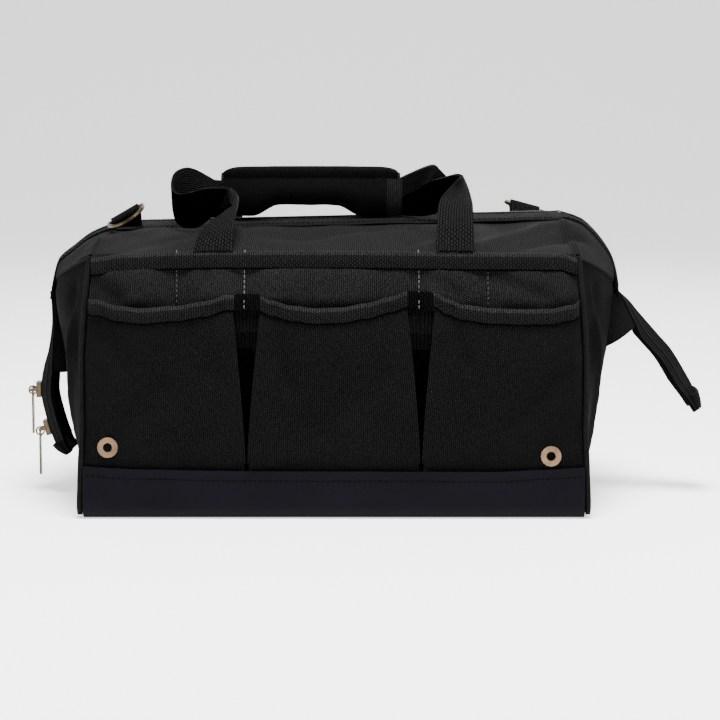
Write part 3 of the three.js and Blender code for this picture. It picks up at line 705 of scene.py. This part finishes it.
def roof_point(side, first, last):
    """One panel of the roof, from first to last along it, with its folds."""

    def place(part, v):
        u = first + (last - first) * part
        p = roof_eaves(u, side).lerp(roof_ridge(u, side), v)
        end = from_end(u)
        middle = math.sin(math.pi * v)
        p.z += 3.5 * middle * end
        p.y += side * 3.0 * middle * (1 - end) * math.sin(math.pi * end)
        back = abs(p.y)
        folds = 3.4 * fold(p.x, back, (92, 82), (168, 30), 7) - 3.0 * fold(p.x, back, (116, 88), (174, 48), 5)
        folds += 2.4 * fold(p.x, back, (-168, 62), (-112, 28), 8) - 2.0 * fold(p.x, back, (-150, 80), (-96, 52), 6)
        folds += 1.8 * fold(p.x, back, (-40, 78), (30, 60), 8) - 1.6 * fold(p.x, back, (-56, 62), (40, 44), 8)
        folds += 2.4 * fold(p.x, back, (-104, 74), (-66, 40), 6) - 2.2 * fold(p.x, back, (48, 80), (74, 46), 6)
        folds += 2.8 * crumple(p.x, p.y, 34, 31.0 + side)
        p.z += folds * middle * 1.25
        return p

    return place


def fold_with_jaw(piece, end):
    """Bakes the piece's placement into its mesh; it does the same for either end."""
    if end == 0:
        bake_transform(piece)
    else:
        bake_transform(piece)


# Duck painted a step lighter than the walls' duck and a step darker than the lit roof: painted light on the mouth
# channels and the corner piping's highlight, painted shade against the roof on its end wings; the facings, tails
# and right gore take it too.
half_lit_duck = woven("half_lit_duck", 0.0002, 0.0066, 1.45, 1.3, 1.9)
ROOF_PANELS = ((-1, "left", 0, 0.25, 50), (0, "mid", 0.25, 0.75, 130), (1, "right", 0.75, 1, 50))
for side, face in ((-1, "front"), (1, "back")):
    for end, spot, first, last, across in ROOF_PANELS:
        panel = roof_point(side, first, last)
        roof = cloth(f"{face}_{spot}_roof", across, 26, panel, 1.5, 700 * (last - first), 72)
        # The roof's middle panel takes the duck painted lighter as painted light from the top lamp, its end wings
        # the half-lit duck.
        roof.data.materials.append(painted_lit_duck if end == 0 else half_lit_duck)
        if end == 0:
            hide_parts(f"{face}_yoke")
        fold_with_jaw(roof, end)

# Mouth: a cloth channel round each frame rod and the zip between them
# The channels are sewn into the roof, and the coil zip runs along their tops
# and down both ends.
CHANNEL_LEFT, CHANNEL_RIGHT = -156, 162
CHANNEL_SECTION = [
    (19.2, 197.2), (28, 197.3), (29.6, 198.0), (28.4, 199.2), (20, 200.6), (14, 201.6), (9, 202.3), (3.5, 201.3),
    (1.2, 199.8), (0.9, 198.8), (0.9, 189.6), (1.8, 188.4), (9.5, 187.9), (17.6, 188.0), (18.8, 189.2),
]
ZIP_HALF = 154
COIL_PITCH = 1.5


def sleeve(point, around, along, width, length):
    """A sheet rolled up and its seam merged: point(u, v) with u round it, in millimetres."""
    bm = cut_sheet(around, along, width, length)
    for vert in bm.verts:
        u = round((vert.co.x + 0.5) * around) % around / around
        v = round((vert.co.y + 0.5) * along) / along
        vert.co = Vector(point(u, v)) * mm
    bmesh.ops.remove_doubles(bm, verts=bm.verts, dist=0.001 * mm)
    turn_outwards(bm, sum((v.co for v in bm.verts), Vector()) / len(bm.verts))
    return bm


def channel(side, name):
    """The cloth round one frame rod, closed at both ends, its skirt sewn down on the roof."""
    corners = len(CHANNEL_SECTION)

    def point(u, v):
        x = CHANNEL_LEFT + (CHANNEL_RIGHT - CHANNEL_LEFT) * v
        y, z = CHANNEL_SECTION[round(u * corners) % corners]
        soft = 0.5 * crumple(x, -y, 18, 41.0 + side) if z > 196 else 0
        return x, side * y, z + RISE * x + soft

    bm = sleeve(point, corners, 150, 0, 0)
    bmesh.ops.holes_fill(bm, edges=bm.edges[:])
    bmesh.ops.recalc_face_normals(bm, faces=bm.faces)
    uv = bm.loops.layers.uv.verify()
    for face in bm.faces:
        for loop in face.loops:
            loop[uv].uv = (loop.vert.co.x, loop.vert.co.y + loop.vert.co.z)
    return finish_piece(name, bm)


for side, face in ((-1, "front"), (1, "back")):
    # The channels take the half-lit duck as painted light on the mouth.
    own(channel(side, f"{face}_channel"), half_lit_duck, "canvas", f"{face}_jaw", f"{face}_placket")


def zip_tape(side, name):
    """One half's woven tape, lying on the channel."""

    def place(u, v):
        x = ZIP_HALF * (2 * u - 1)
        y = 0.35 + 10.5 * v
        return x, side * y, 202.4 + RISE * x - 1.6 * smooth_step(v * 2) + 0.3 * crumple(x, y, 12, 51.0)

    return cloth(name, 120, 8, place, 0.9, 2 * ZIP_HALF, 11)


def bead(profile, sides):
    """A small closed shape spun round X from (x, radius, lift) points, in millimetres."""
    bm = bmesh.new()
    line = [bm.verts.new((x, radius, 0)) for x, radius, lift in profile]
    line += [bm.edges.new(pair) for pair in zip(line, line[1:])]
    full = 2 * math.pi
    bmesh.ops.spin(bm, geom=line, cent=(0, 0, 0), axis=(1, 0, 0), angle=full, steps=sides, use_merge=True)
    bmesh.ops.remove_doubles(bm, verts=bm.verts, dist=0.001)
    bmesh.ops.holes_fill(bm, edges=bm.edges[:])
    bmesh.ops.recalc_face_normals(bm, faces=bm.faces)
    for vert in bm.verts:
        vert.co.z += at_height([(x, lift) for x, radius, lift in profile], vert.co.x)
    return bm


def scatter(name, bm, spots):
    """One piece of the same small bead at many spots, each a place and three axes, in millimetres."""
    pattern = bm.verts[:] + bm.edges[:] + bm.faces[:]
    for place, axes in spots:
        copied = bmesh.ops.duplicate(bm, geom=pattern)["geom"]
        verts = [part for part in copied if isinstance(part, bmesh.types.BMVert)]
        seat = Matrix.Scale(mm, 4) @ Matrix.Translation(place) @ axes.to_4x4()
        bmesh.ops.transform(bm, matrix=seat, verts=verts)
    verts = [part for part in pattern if isinstance(part, bmesh.types.BMVert)]
    bmesh.ops.delete(bm, geom=verts, context="VERTS")
    return finish_piece(name, bm, crisp=False)


def walk(line, pitch, offset=0.5):
    """Even steps along a line of (place, up) pairs: the place, the way ahead and up at each."""
    found = []
    left = pitch * offset
    for (a, up_a), (b, up_b) in zip(line, line[1:]):
        length = (b - a).length
        while left < length:
            t = left / length
            ahead = (b - a).normalized()
            up = up_a.lerp(up_b, t)
            up = (up - ahead * up.dot(ahead)).normalized()
            found.append((a.lerp(b, t), ahead, up))
            left += pitch
        left -= length
    return found


def coil(name, line, side):
    """One side's row of coil teeth along a line of (place, up)."""
    tooth = bead([(-1.5, 0.2, 0), (-1.2, 0.55, 0), (1.0, 0.6, 0), (1.5, 0.25, 0)], 8)
    spots = []
    for place, ahead, up in walk(line, COIL_PITCH, 0.25 if side < 0 else 0.75):
        out = ahead.cross(up)
        if out.y * side < 0:
            out = -out
        spots.append((place + out * 1.2, Matrix((out, up.cross(out), up)).transposed()))
    return scatter(name, tooth, spots)


def moulded(name, colour, roughness, shine=0.5):
    """A plain material, uneven by 30 per cent either way."""
    dark, light = [c * 0.7 for c in colour], [c * 1.3 for c in colour]
    material, tree, skin, _, use, tone = two_tone(name, dark, light)
    skin.inputs["Roughness"].default_value = roughness
    skin.inputs["Specular IOR Level"].default_value = shine
    tree.links.new(use.outputs["Fade"], tone.inputs["Factor"])
    return material


nylon = moulded("coil_nylon", (0.014, 0.014, 0.015), 0.5, 0.25)
tape_cloth = woven("zip_tape", 0.0002, 0.004, 0.6, 0.6)
for side, face in ((-1, "front"), (1, "back")):
    own(zip_tape(side, f"{face}_zip_tape"), tape_cloth, "webbing", f"{face}_jaw", f"{face}_zip_half")
    along = range(-ZIP_HALF, ZIP_HALF + 1, 14)
    ridge = [(Vector((x, 0, 202.6 + RISE * x)), Vector((0, 0, 1))) for x in along]
    own(coil(f"{face}_coil", ridge, side), nylon, "webbing", f"{face}_jaw")


def end_line(end, t):
    """The zip's line over an end of the bag: its place and the way out of the bag, t from mouth to tail."""
    line = list(reversed(LEFT_END if end < 0 else RIGHT_END)) + [(205.2, 144)]
    x, z = along_path(line, t)
    ahead = (Vector(along_path(line, min(1, t + 0.02))) - Vector(along_path(line, max(0, t - 0.02)))).normalized()
    return Vector((end * x, 0, z)), Vector((-end * ahead.y, 0, ahead.x))


def end_facing(side, end, name):
    """The channel's cloth carried on flat down the end of the bag, beside the zip."""

    def place(u, v):
        spot, out = end_line(end, v)
        drop = 1.6 * u * u + 1.6 * smooth_step(1 - v / 0.05)
        spot = spot + out * (1.6 - drop + 0.4 * crumple(20 * u, 90 * v, 14, 61 + end * side))
        return spot.x, side * (0.4 + 20.2 * u), spot.z

    return cloth(name, 14, 44, place, 1.2, 20, 78)


for side, face in ((-1, "front"), (1, "back")):
    for end, spot in ((-1, "left"), (1, "right")):
        facing = end_facing(side, end, f"{face}_{spot}_facing")
        line = [(p + out * 2.2, out) for p, out in (end_line(end, 0.85 * k / 16) for k in range(17))]
        teeth = coil(f"{face}_{spot}_coil", line, side)
        for piece, material, slot in ((facing, half_lit_duck, "canvas"), (teeth, nylon, "webbing")):
            piece.data.materials.append(material)
            fold_with_jaw(piece, end)

# Grip: the padded wrap round both carrying straps
# Foam in duck, closed along the front by a flap, its ends bound. It sags a
# little towards its middle.
GRIP_MIDDLE = 222
GRIP_START = -81.5
GRIP_LENGTH = 128


def round_section(half_depth, low, high, a):
    """A rounded oblong, a round it: its y and z."""
    c, s = math.cos(a), math.sin(a)
    y = half_depth * math.copysign(abs(c) ** 0.75, c)
    z = (low + high) / 2 + (high - low) / 2 * math.copysign(abs(s) ** 0.75, s)
    return y, z


def grip_hollow(v):
    """The grip's underside is hollowed between its drooping ends: 0 at the ends, 1 in the middle."""
    return smooth_step((v - 0.17) / 0.16) * smooth_step((0.85 - v) / 0.16)


def grip_point(u, v):
    """The unfilled wrap's outside."""
    y, z = round_section(16.8, 204.2, 238.5, 2 * math.pi * u)
    arch = 7.5 * grip_hollow(v) * smooth_step((GRIP_MIDDLE - z) / 16)
    taper = 1 - 0.12 * abs(2 * v - 1) ** 6
    squeeze = 1 - 0.18 * abs(2 * v - 1) ** 14
    return GRIP_START + GRIP_LENGTH * v, y * taper * squeeze, GRIP_MIDDLE + (z - GRIP_MIDDLE) * squeeze + arch


def sewn_tube(name, point, around, along, thickness, width, length):
    """A sleeve, open at both ends, or a closed bag if it has no thickness: point(u, v) with u round it."""
    bm = sleeve(point, around, along, width, length)
    if thickness:
        thicken(bm, thickness)
    else:
        bmesh.ops.holes_fill(bm, edges=bm.edges[:])
    return finish_piece(name, bm)


def swell(piece, cell, cap):
    """Fills the bag as foam does: simulated as cloth under pressure, no point moving further than cap."""
    scene = bpy.context.scene
    even = piece.modifiers.new("even", "REMESH")
    even.mode = "VOXEL"
    even.voxel_size = cell * mm
    slack = bpy.data.meshes.new_from_object(piece.evaluated_get(bpy.context.evaluated_depsgraph_get()))
    piece.modifiers.remove(even)
    piece.data = slack
    fabric = piece.modifiers.new("fabric", "CLOTH")
    fabric.settings.use_pressure = True
    fabric.settings.uniform_pressure_force = 4
    fabric.settings.effector_weights.gravity = 0
    fabric.point_cache.frame_end = 20
    for step in range(1, 21):
        scene.frame_set(step)
    full = bpy.data.meshes.new_from_object(piece.evaluated_get(bpy.context.evaluated_depsgraph_get()))
    piece.modifiers.remove(fabric)
    scene.frame_set(1)
    nearly_still = 1e-9
    for vert, start in zip(full.vertices, slack.vertices):
        move = vert.co - start.co
        vert.co = start.co + move * min(1, cap * mm / max(move.length, nearly_still))
    for face in full.polygons:
        face.use_smooth = True
    piece.data = full
    smooth = piece.modifiers.new("smooth", "SUBSURF")
    smooth.levels = smooth.render_levels = 1


grip_duck = woven("grip_duck", 0, 0.0006, 1.35, 1.1, 0.5, 0.6, 0.02, mapped=False)
grip = sewn_tube("grip_pad", grip_point, 48, 60, 0, 110, 131)
swell(grip, cell=4.5, cap=5)
own(grip, grip_duck, "canvas", "handle", "grip_wrap")


def core_point(u, v):
    """The carrying straps' middles, wrapped together inside the grip."""
    y, z = round_section(11, 215.2, 234, 2 * math.pi * u)
    return -82 + 129 * v, y, z


webbing = woven("webbing", 0.0001, 0.0078, 1.9, 1.9, 3.0, 1.5)
own(sewn_tube("grip_straps", core_point, 32, 8, 2.4, 62, 129), webbing, "webbing", "handle", "grip_core")


def flap_point(u, v):
    """The flap hangs over the grip's front, v from its fold down to its lip."""
    z = 230.5 - (27.3 - 8 * grip_hollow(u)) * v + 0.6 * crumple(120 * u, 20 * v, 14, 81)
    bulge = 1.6 * math.sin(math.pi * v) - 3.2 * v**3 + 0.8 * crumple(120 * u, 20 * v, 20, 82)
    return -80 + 118 * u, -(19.6 + bulge), z


cover_duck = woven("cover_duck", 0.0002, 0.0019, 1.35, 1.1, 0.5, 0.6, 0.05)
flap = cloth("grip_cover", 60, 14, flap_point, 1.8, 118, 21)
own(flap, cover_duck, "panel_grey", "grip_flap", "grip_flap")


def binding_point(u, v):
    """Binding over the wrap's right end, beside the flap."""
    bulge = 1.2 * math.sin(math.pi * v) - 3.2 * v**3 - 1.5 * (u - 0.3) ** 2
    return 37 + 11 * u, -(20.6 + bulge), 230.3 - 27 * v


# The end binding takes the duck painted lighter as painted light.
own(cloth("grip_binding", 12, 14, binding_point, 1.6, 11, 25), painted_lit_duck, "canvas", "handle")

# Carrying straps: 25 mm webbing from the hem band up into the grip
# Each is given by its two edges. They twist on the way, so that the front
# ones show their inner face, painted darker as shade, and the left one has
# slack and doubles back.
WEBBING_WIDTH = 25
STRAP_LENGTH = 150
STRAP_EDGES = {
    ("front", "right"): [
        ((70, -88, 184), (96, -88, 184)), ((71, -84, 203), (96, -85, 202)),
        ((72, -79, 214), (96, -80, 209)), ((75, -74, 221), (96, -73, 215)),
        ((82, -70, 227), (95, -62, 221)), ((88, -66, 232), (93, -50, 228)),
        ((90, -58, 234), (91, -40, 231)), ((86, -50, 235), (87, -34, 222)),
        ((79, -42, 233), (80, -31, 211)), ((68, -33, 229), (68, -27, 205)),
        ((58, -24, 222), (58, -21, 204)), ((47, -14, 216), (48, -14, 204)),
    ],
    ("front", "left"): [
        ((-97, -88, 184), (-69, -88, 184)), ((-92, -85, 196), (-69, -86, 197)),
        ((-84, -80, 204), (-68, -80, 208)), ((-76, -74, 210), (-67, -70, 216)),
        ((-71, -68, 215), (-68, -58, 222)), ((-71, -62, 221), (-73, -48, 225)),
        ((-74, -58, 226), (-78, -42, 222)), ((-81, -55, 226), (-86, -42, 208)),
        ((-91, -52, 225), (-96, -42, 198)), ((-101, -48, 222), (-105, -40, 197)),
        ((-110, -43, 221), (-111, -36, 201)), ((-114, -36, 226), (-114, -28, 213)),
        ((-112, -28, 235), (-111, -22, 217)), ((-103, -20, 238), (-102, -16, 216)),
        ((-91, -13, 232), (-89, -11, 213)), ((-81, -7, 225), (-79, -7, 209)),
    ],
    ("back", "right"): [
        ((71, 88, 184), (96, 88, 184)), ((69, 80, 202), (94, 79, 203)), ((66, 60, 214), (88, 58, 222)),
        ((61, 40, 218), (76, 36, 236)), ((58, 26, 214), (70, 22, 239)), ((50, 16, 211), (56, 14, 234)),
        ((42, 10, 211), (43, 8, 228)),
    ],
    ("back", "left"): [
        ((-71, 88, 184), (-96, 88, 184)), ((-72, 80, 200), (-97, 78, 202)), ((-78, 60, 213), (-100, 58, 220)),
        ((-86, 42, 217), (-102, 37, 228)), ((-90, 26, 214), (-95, 24, 229)), ((-86, 16, 212), (-86, 14, 228)),
        ((-79, 11, 215), (-79, 11, 228)),
    ],
}


# Painted shade on the front straps' inner faces.
shaded_webbing = woven("shaded_webbing", 0, 0.0009, 1.9, 1.9, 1.4, shine=0.0)


def strap_point(side, end, u, v):
    """A place on a strap's outer face and the way out of it."""
    pairs = STRAP_EDGES["front" if side < 0 else "back", end]
    near, far = [[Vector(pair[k]) for pair in pairs] for k in (0, 1)]

    def at(t):
        return along_path(near, t).lerp(along_path(far, t), u)

    ahead = at(min(1, v + 0.01)) - at(max(0, v - 0.01))
    across = along_path(far, v) - along_path(near, v)
    out = ahead.cross(across).normalized()
    if (near[1] - near[0]).cross(far[0] - near[0]).y * side < 0:
        out = -out
    return at(v), out


def strap(name, side, end):
    """A strap's webbing with its outer face, inner face and rims as three materials."""
    bm = cut_sheet(10, 90, WEBBING_WIDTH, STRAP_LENGTH)
    ups = []
    for vert in bm.verts:
        place, out = strap_point(side, end, vert.co.x + 0.5, vert.co.y + 0.5)
        vert.co = place * mm
        ups.append(out)
    bm.normal_update()
    bm.verts.ensure_lookup_table()
    if sum(v.normal.dot(out) for v, out in zip(bm.verts, ups)) < 0:
        bmesh.ops.reverse_faces(bm, faces=bm.faces)
        bm.normal_update()
    outer, outer_verts = set(bm.faces), set(bm.verts)
    thicken(bm, 2.0)
    for face in bm.faces:
        face.material_index = 0 if face in outer else 2 if outer_verts.intersection(face.verts) else 1
    return finish_piece(name, bm)


for side, face in ((-1, "front"), (1, "back")):
    for end in ("left", "right"):
        carrier = strap(f"{face}_{end}_webbing", side, end)
        # The front straps' inner faces take painted shade, and every strap's rims the lighter twill as a painted
        # highlight.
        for material in (webbing, shaded_webbing if side < 0 else webbing, worn_and_highlit_twill):
            carrier.data.materials.append(material)
        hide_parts(f"{face}_{end}_strap")
        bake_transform(carrier)

# Zip tails: the free ends of the zip past the end walls
# A folded facing, topstitched along, with its edges curled in and a webbing
# tab folded over its end. A small gore fills the corner under each.
TAIL_ROUTE = {
    "left": [
        (-205.6, 149), (-205, 128), (-208, 108), (-212.5, 94), (-214.5, 84), (-214.5, 68), (-206, 38), (-196, 28),
    ],
    "right": [
        (205.6, 149), (213, 142), (221, 133), (228, 125), (236, 116), (244.5, 106.5), (252, 95), (263, 75.5),
        (267, 64),
    ],
}
TAIL_CURL = {
    "left": [(0, 0.2), (0.25, 3), (0.45, 8.5), (0.85, 9.5), (1, 5)],
    "right": [(0, 0.2), (0.2, 6), (0.4, 11), (0.8, 11), (1, 5)],
}
TAIL_HALF_WIDTH = 18
TOPSTITCH_RIDGES = (0.42, 0.8)  # parts of that half width


def tail_frame(end, name, v):
    """A place on a tail's back and the way in from it, in the plane of x and z."""
    route = TAIL_ROUTE[name]
    ahead = (along_path(route, min(1, v + 0.02)) - along_path(route, max(0, v - 0.02))).normalized()
    return along_path(route, v), Vector((end * ahead.y, -end * ahead.x))


def tail(end, name):
    """The folded facing, its edges curled in and ridged where it is topstitched."""

    def place(u, v):
        spot, inward = tail_frame(end, name, v)
        across = 2 * u - 1
        bent = at_height(TAIL_CURL[name], v)
        ridge = sum(math.exp(-(((abs(across) - line) / 0.05) ** 2)) for line in TOPSTITCH_RIDGES)
        p = spot + inward * (bent * across**2 - 0.9 * ridge * smooth_step(v / 0.15))
        return p.x, across * TAIL_HALF_WIDTH, p.y

    return cloth(f"{name}_zip_tail", 64, 60, place, 3.0, 2 * TAIL_HALF_WIDTH, 130)


def tail_tab(end, name):
    """Webbing folded over the tail's end."""

    def point(u, v):
        spot, inward = tail_frame(end, name, 0.87 + 0.12 * v)
        a = 2 * math.pi * u
        p = spot + inward * (3.4 + (5.2 - 1.5 * v) * math.sin(a))
        return p.x, 17.6 * (1 - 0.06 * v) * math.copysign(abs(math.cos(a)) ** 0.5, math.cos(a)), p.y

    return sewn_tube(f"{name}_tail_tab", point, 28, 8, 1.6, 80, 16)


# Each gore reaches from the wall between two heights to a stretch of the tail's curled edge.
GORE = {"left": (124, 92, 0.16, 0.42), "right": (149, 108, 0.03, 0.3)}
GORE_HALF_WIDTH = 17.5


def gore_point(end, name, u, v, across):
    """A place in x and z on a gore: u down the wall, v from the wall to the tail."""
    top, low, first, last = GORE[name]
    z = top + (low - top) * u
    along = first + (last - first) * u
    spot, inward = tail_frame(end, name, along)
    at_wall = Vector((end * (gusset_x(0.3, z) + 0.5), z))
    return at_wall.lerp(spot + inward * (at_height(TAIL_CURL[name], along) * across**2 + 1), v)


def gore(end, name, across, face):
    """A gore's front or back side."""

    def place(u, v):
        p = gore_point(end, name, u, v, across)
        return p.x, across * (GORE_HALF_WIDTH + 1.8 * math.sin(math.pi * v) * u), p.y

    return cloth(f"{name}_gore_{face}", 14, 10, place, 1.4, 40, 24)


def gore_base(end, name):
    """A gore's underside, which joins its two sides."""

    def place(u, v):
        across = 2 * u - 1
        bulge = math.sin(math.pi * v)
        p = gore_point(end, name, 1, v, across)
        return p.x, across * (GORE_HALF_WIDTH + 1.8 * bulge), p.y - 1.5 * bulge

    return cloth(f"{name}_gore_base", 14, 10, place, 1.4, 36, 24)


# The left gore takes the darker duck of painted shade, the right one the half-lit duck of painted light.
for end, name, reach, gore_duck in ((-1, "left", 0.006, end_duck_painted_shade), (1, "right", 0.014, half_lit_duck)):
    own(tail(end, name), half_lit_duck, "panel_grey", f"{name}_tail", f"{name}_tail")
    own(tail_tab(end, name), webbing, "webbing", f"{name}_tail")
    for part in (gore(end, name, -1, "front"), gore(end, name, 1, "back"), gore_base(end, name)):
        part.data.materials.append(gore_duck)
        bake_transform(part)

# Ring loops: one at each end of the mouth, for a shoulder strap's rings
# A short length of webbing folded over the straight bar of the ring, both its
# ends sewn in at the mouth's edge. Each bar is given by its middle and slope.
RING_BAR = {"left": ((-149, -26, 205), 30, 1), "right": ((139, 26, 208), 15, -1)}


def ring_loop(name):
    """v goes from the seam over the bar and back under it to the seam."""
    bar, slope, turn = RING_BAR[name]
    c, s = math.cos(math.radians(slope)), math.sin(math.radians(slope))

    def at(along, out, up):
        return Vector((bar[0] + turn * (along * c - up * s), bar[1] - turn * out, bar[2] + along * s + up * c))

    over_bar = 2.9

    def place(u, v):
        along = -11 + 22 * u
        seam_x = bar[0] + turn * along
        seam = Vector((seam_x, -turn * 20.5, 198.9 + RISE * seam_x))
        if v < 0.25:
            return seam.lerp(at(along, -over_bar, 0.6), v / 0.25)
        if v > 0.75:
            return at(along, -1.4, -2.4).lerp(seam + Vector((0, 0, -1.2)), (v - 0.75) / 0.25)
        a = math.radians(170) - math.radians(290) * (v - 0.25) / 0.5
        return at(along, over_bar * math.cos(a), over_bar * math.sin(a))

    return cloth(f"{name}_ring_loop", 12, 40, place, 1.0, 22, 40)


for name, jaw in (("left", "front_jaw"), ("right", "back_jaw")):
    own(ring_loop(name), webbing, "webbing", jaw, f"{name}_ring_tab")

# Pivot patches: inside the end walls, behind the frame's rivets
# Doubled webbing, sewn to the wall, that takes the pull of the mouth frame.


def pivot_patch(end, name):
    def place(u, v):
        across = 2 * u - 1
        return end * (198.6 - 0.6 * across**2), 14 * across, 126 + 21 * v

    return cloth(name, 6, 6, place, 3, 28, 21)


for end, name in ((-1, "left"), (1, "right")):
    own(pivot_patch(end, f"{name}_patch"), webbing, "webbing", "shell", f"{name}_pivot_patch")

# Seams: piping up the four corners and the topstitching
# The corner seams are bound with a strip of the same duck. Everything is
# topstitched in heavy black thread that has gone a little grey.
STITCH = [(-1.35, 0.12, -0.3), (-0.9, 0.36, 0.05), (0.9, 0.36, 0.05), (1.35, 0.12, -0.3)]
STITCH_PITCH = 3.6


def piping(name, side, end):
    """The binding of one corner seam, lumpy from its folded duck."""

    def point(u, v):
        z = 2 + (BAND_TOP - 3.5) * v
        foot = 7 * (1 - smooth_step(z / 9))
        a = 2 * math.pi * u
        radius = 1.9 + 0.25 * crumple(80 * v, 3 * u, 5, 71 + side + end)
        x = corner_x(z) + 2.2 + radius * math.cos(a)
        y = wall_y(z) + 3.4 - foot + radius * 1.1 * math.sin(a)
        return end * x, side * y, z

    return sewn_tube(name, point, 12, 60, 0, 12, 178)


for side, face in ((-1, "front"), (1, "back")):
    for end, spot in ((-1, "left"), (1, "right")):
        # The piping takes the half-lit duck as a painted highlight along the corners.
        own(piping(f"{face}_{spot}_piping", side, end), half_lit_duck, "canvas", "shell")

thread = moulded("thread", (0.0012, 0.0012, 0.0012), 0.9, 0.03)
faded_thread = moulded("faded_thread", (0.028, 0.028, 0.028), 0.9, 0.05)
light_thread = moulded("light_thread", (0.07, 0.07, 0.068), 0.8, 0.1)


def stitches(name, rows, colour=thread):
    """Rows of stitches, each a line of (place, up)."""
    spots = []
    for row in rows:
        for place, ahead, up in walk(row, STITCH_PITCH):
            spots.append((place, Matrix((ahead, up.cross(ahead), up)).transposed()))
    sewn = scatter(name, bead(STITCH, 6), spots)
    sewn.data.materials.append(colour)
    return sewn


def level_row(side, x0, x1, height, face):
    """Stitches along a wall at a height that may change with x."""
    row = []
    for k in range(161):
        x = x0 + (x1 - x0) * k / 160
        z = height(x)
        row.append((Vector((x, side * face(x, z), z)), Vector((0, side, 0.12))))
    return row


def upright_row(side, x, z0, z1, face):
    """Stitches up a wall."""
    row = []
    for k in range(41):
        z = z0 + (z1 - z0) * k / 40
        row.append((Vector((x, side * face(x, z), z)), Vector((0, side, 0.12))))
    return row


def mouth_row(side, y, height, lean):
    """Stitches along a channel, beside the zip."""
    along = range(-ZIP_HALF, ZIP_HALF + 1, 7)
    return [(Vector((x, side * y, height + RISE * x)), Vector((0, side * lean, 1))) for x in along]


def facing_row(side, end, y):
    """Stitches down an end facing, at y from the zip."""
    row = []
    for k in range(21):
        place, out = end_line(end, 0.06 + 0.8 * k / 20)
        row.append((place + out * (1.7 - 1.6 * (y / 20.2) ** 2) + Vector((0, side * y, 0)), out))
    return row


def boot_face(x, z):
    return BOOT_DEPTH + 0.1


def band_face(x, z):
    return wall_y(z) + 5.1


def flat_face(x, z):
    return wall_y(z) + 3.85 + upper_sag(x, z)


def edge_face(x, z):
    return pocket_face(x, z) + 1.1


for side, face in ((-1, "front"), (1, "back")):
    rows = [
        level_row(side, -171, 171, lambda x: along_x(BOOT_TOP, x) - 6.5, boot_face),
        level_row(side, -166, 166, lambda x: band_fold(x) - 8.5, band_face),
        level_row(side, -166, 166, lambda x: band_fold(x) - 1.7, band_face),
        level_row(side, -169, 169, lambda x: pocket_top(x) - 8.9, edge_face),
    ]
    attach(stitches(f"{face}_wall_stitches", rows), "shell")
    rows = [upright_row(side, x, pocket_top(x) + 1.5, 171, flat_face) for x in (-108, 106)]
    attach(stitches(f"{face}_faded_stitches", rows, faded_thread), "shell")
    rows = []
    for x in (-61.5, 58.5):
        rows.append(upright_row(side, x, 153.5, 171.5, flat_face))
        rows.append(upright_row(side, x, 144, 152.5, lambda x, z: pocket_face(x, z) + 2.0))
    for x in (-108, -61, 58):
        rows.append(upright_row(side, x, 174, 184, lambda x, z: wall_y(z) + 5.2))
    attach(stitches(f"{face}_upright_stitches", rows, light_thread), "shell")
    rows = [mouth_row(side, 26.5, 199.6, 0.2), mouth_row(side, 7.6, 202.2, 0.1)]
    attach(stitches(f"{face}_mouth_stitches", rows), f"{face}_jaw")
    for end, spot in ((-1, "left"), (1, "right")):
        rows = [facing_row(side, end, y) for y in (7, 19)]
        fold_with_jaw(stitches(f"{face}_{spot}_end_stitches", rows), end)

# Metal and board: rings, sliders, pulls, eyelets, the frame and the bottom
# Die-cast and stamped brass gone dull, nickelled steel rod and rivets, and a
# sheet of hardboard. These keep the meshes of the CAD.


def metal(name, colour, roughness, spots):
    """Tarnished metal: its spots are darker by that factor."""
    material, tree, skin, _, use, tone = two_tone(name, [c * spots for c in colour], colour, 160)
    skin.inputs["Metallic"].default_value = 1
    tree.links.new(maths(tree, "MULTIPLY_ADD", use.outputs["Fade"], 1.6, -0.3), tone.inputs["Factor"])
    dull = maths(tree, "MULTIPLY_ADD", use.outputs["Fade"], 0.3, roughness - 0.15)
    tree.links.new(dull, skin.inputs["Roughness"])
    return material


old_brass = metal("old_brass", (0.115, 0.085, 0.05), 0.36, 0.4)
copper = metal("coppered_brass", (0.22, 0.14, 0.085), 0.26, 0.3)
steel = metal("nickelled_steel", (0.5, 0.48, 0.44), 0.35, 0.6)
hardboard = moulded("hardboard", (0.05, 0.035, 0.022), 0.8)


def finish_part(node, material):
    """Gives a CAD node its material."""
    part = bpy.data.objects[node]
    if part.data.materials:
        for k in range(len(part.data.materials)):
            part.data.materials[k] = material
    else:
        part.data.materials.append(material)


for face in ("front", "back"):
    finish_part(f"{face}_frame_rod", steel)
    for end in ("left", "right"):
        finish_part(f"{face}_{end}_eyelet", copper)
for end in ("left", "right"):
    finish_part(f"{end}_pivot_rivet", steel)
    finish_part(f"{end}_d_ring", old_brass)
for spot in ("upper", "lower"):
    for suffix in ("", "_ring", "_pull"):
        finish_part(f"slider_{spot}{suffix}", old_brass)
finish_part("bottom_board", hardboard)
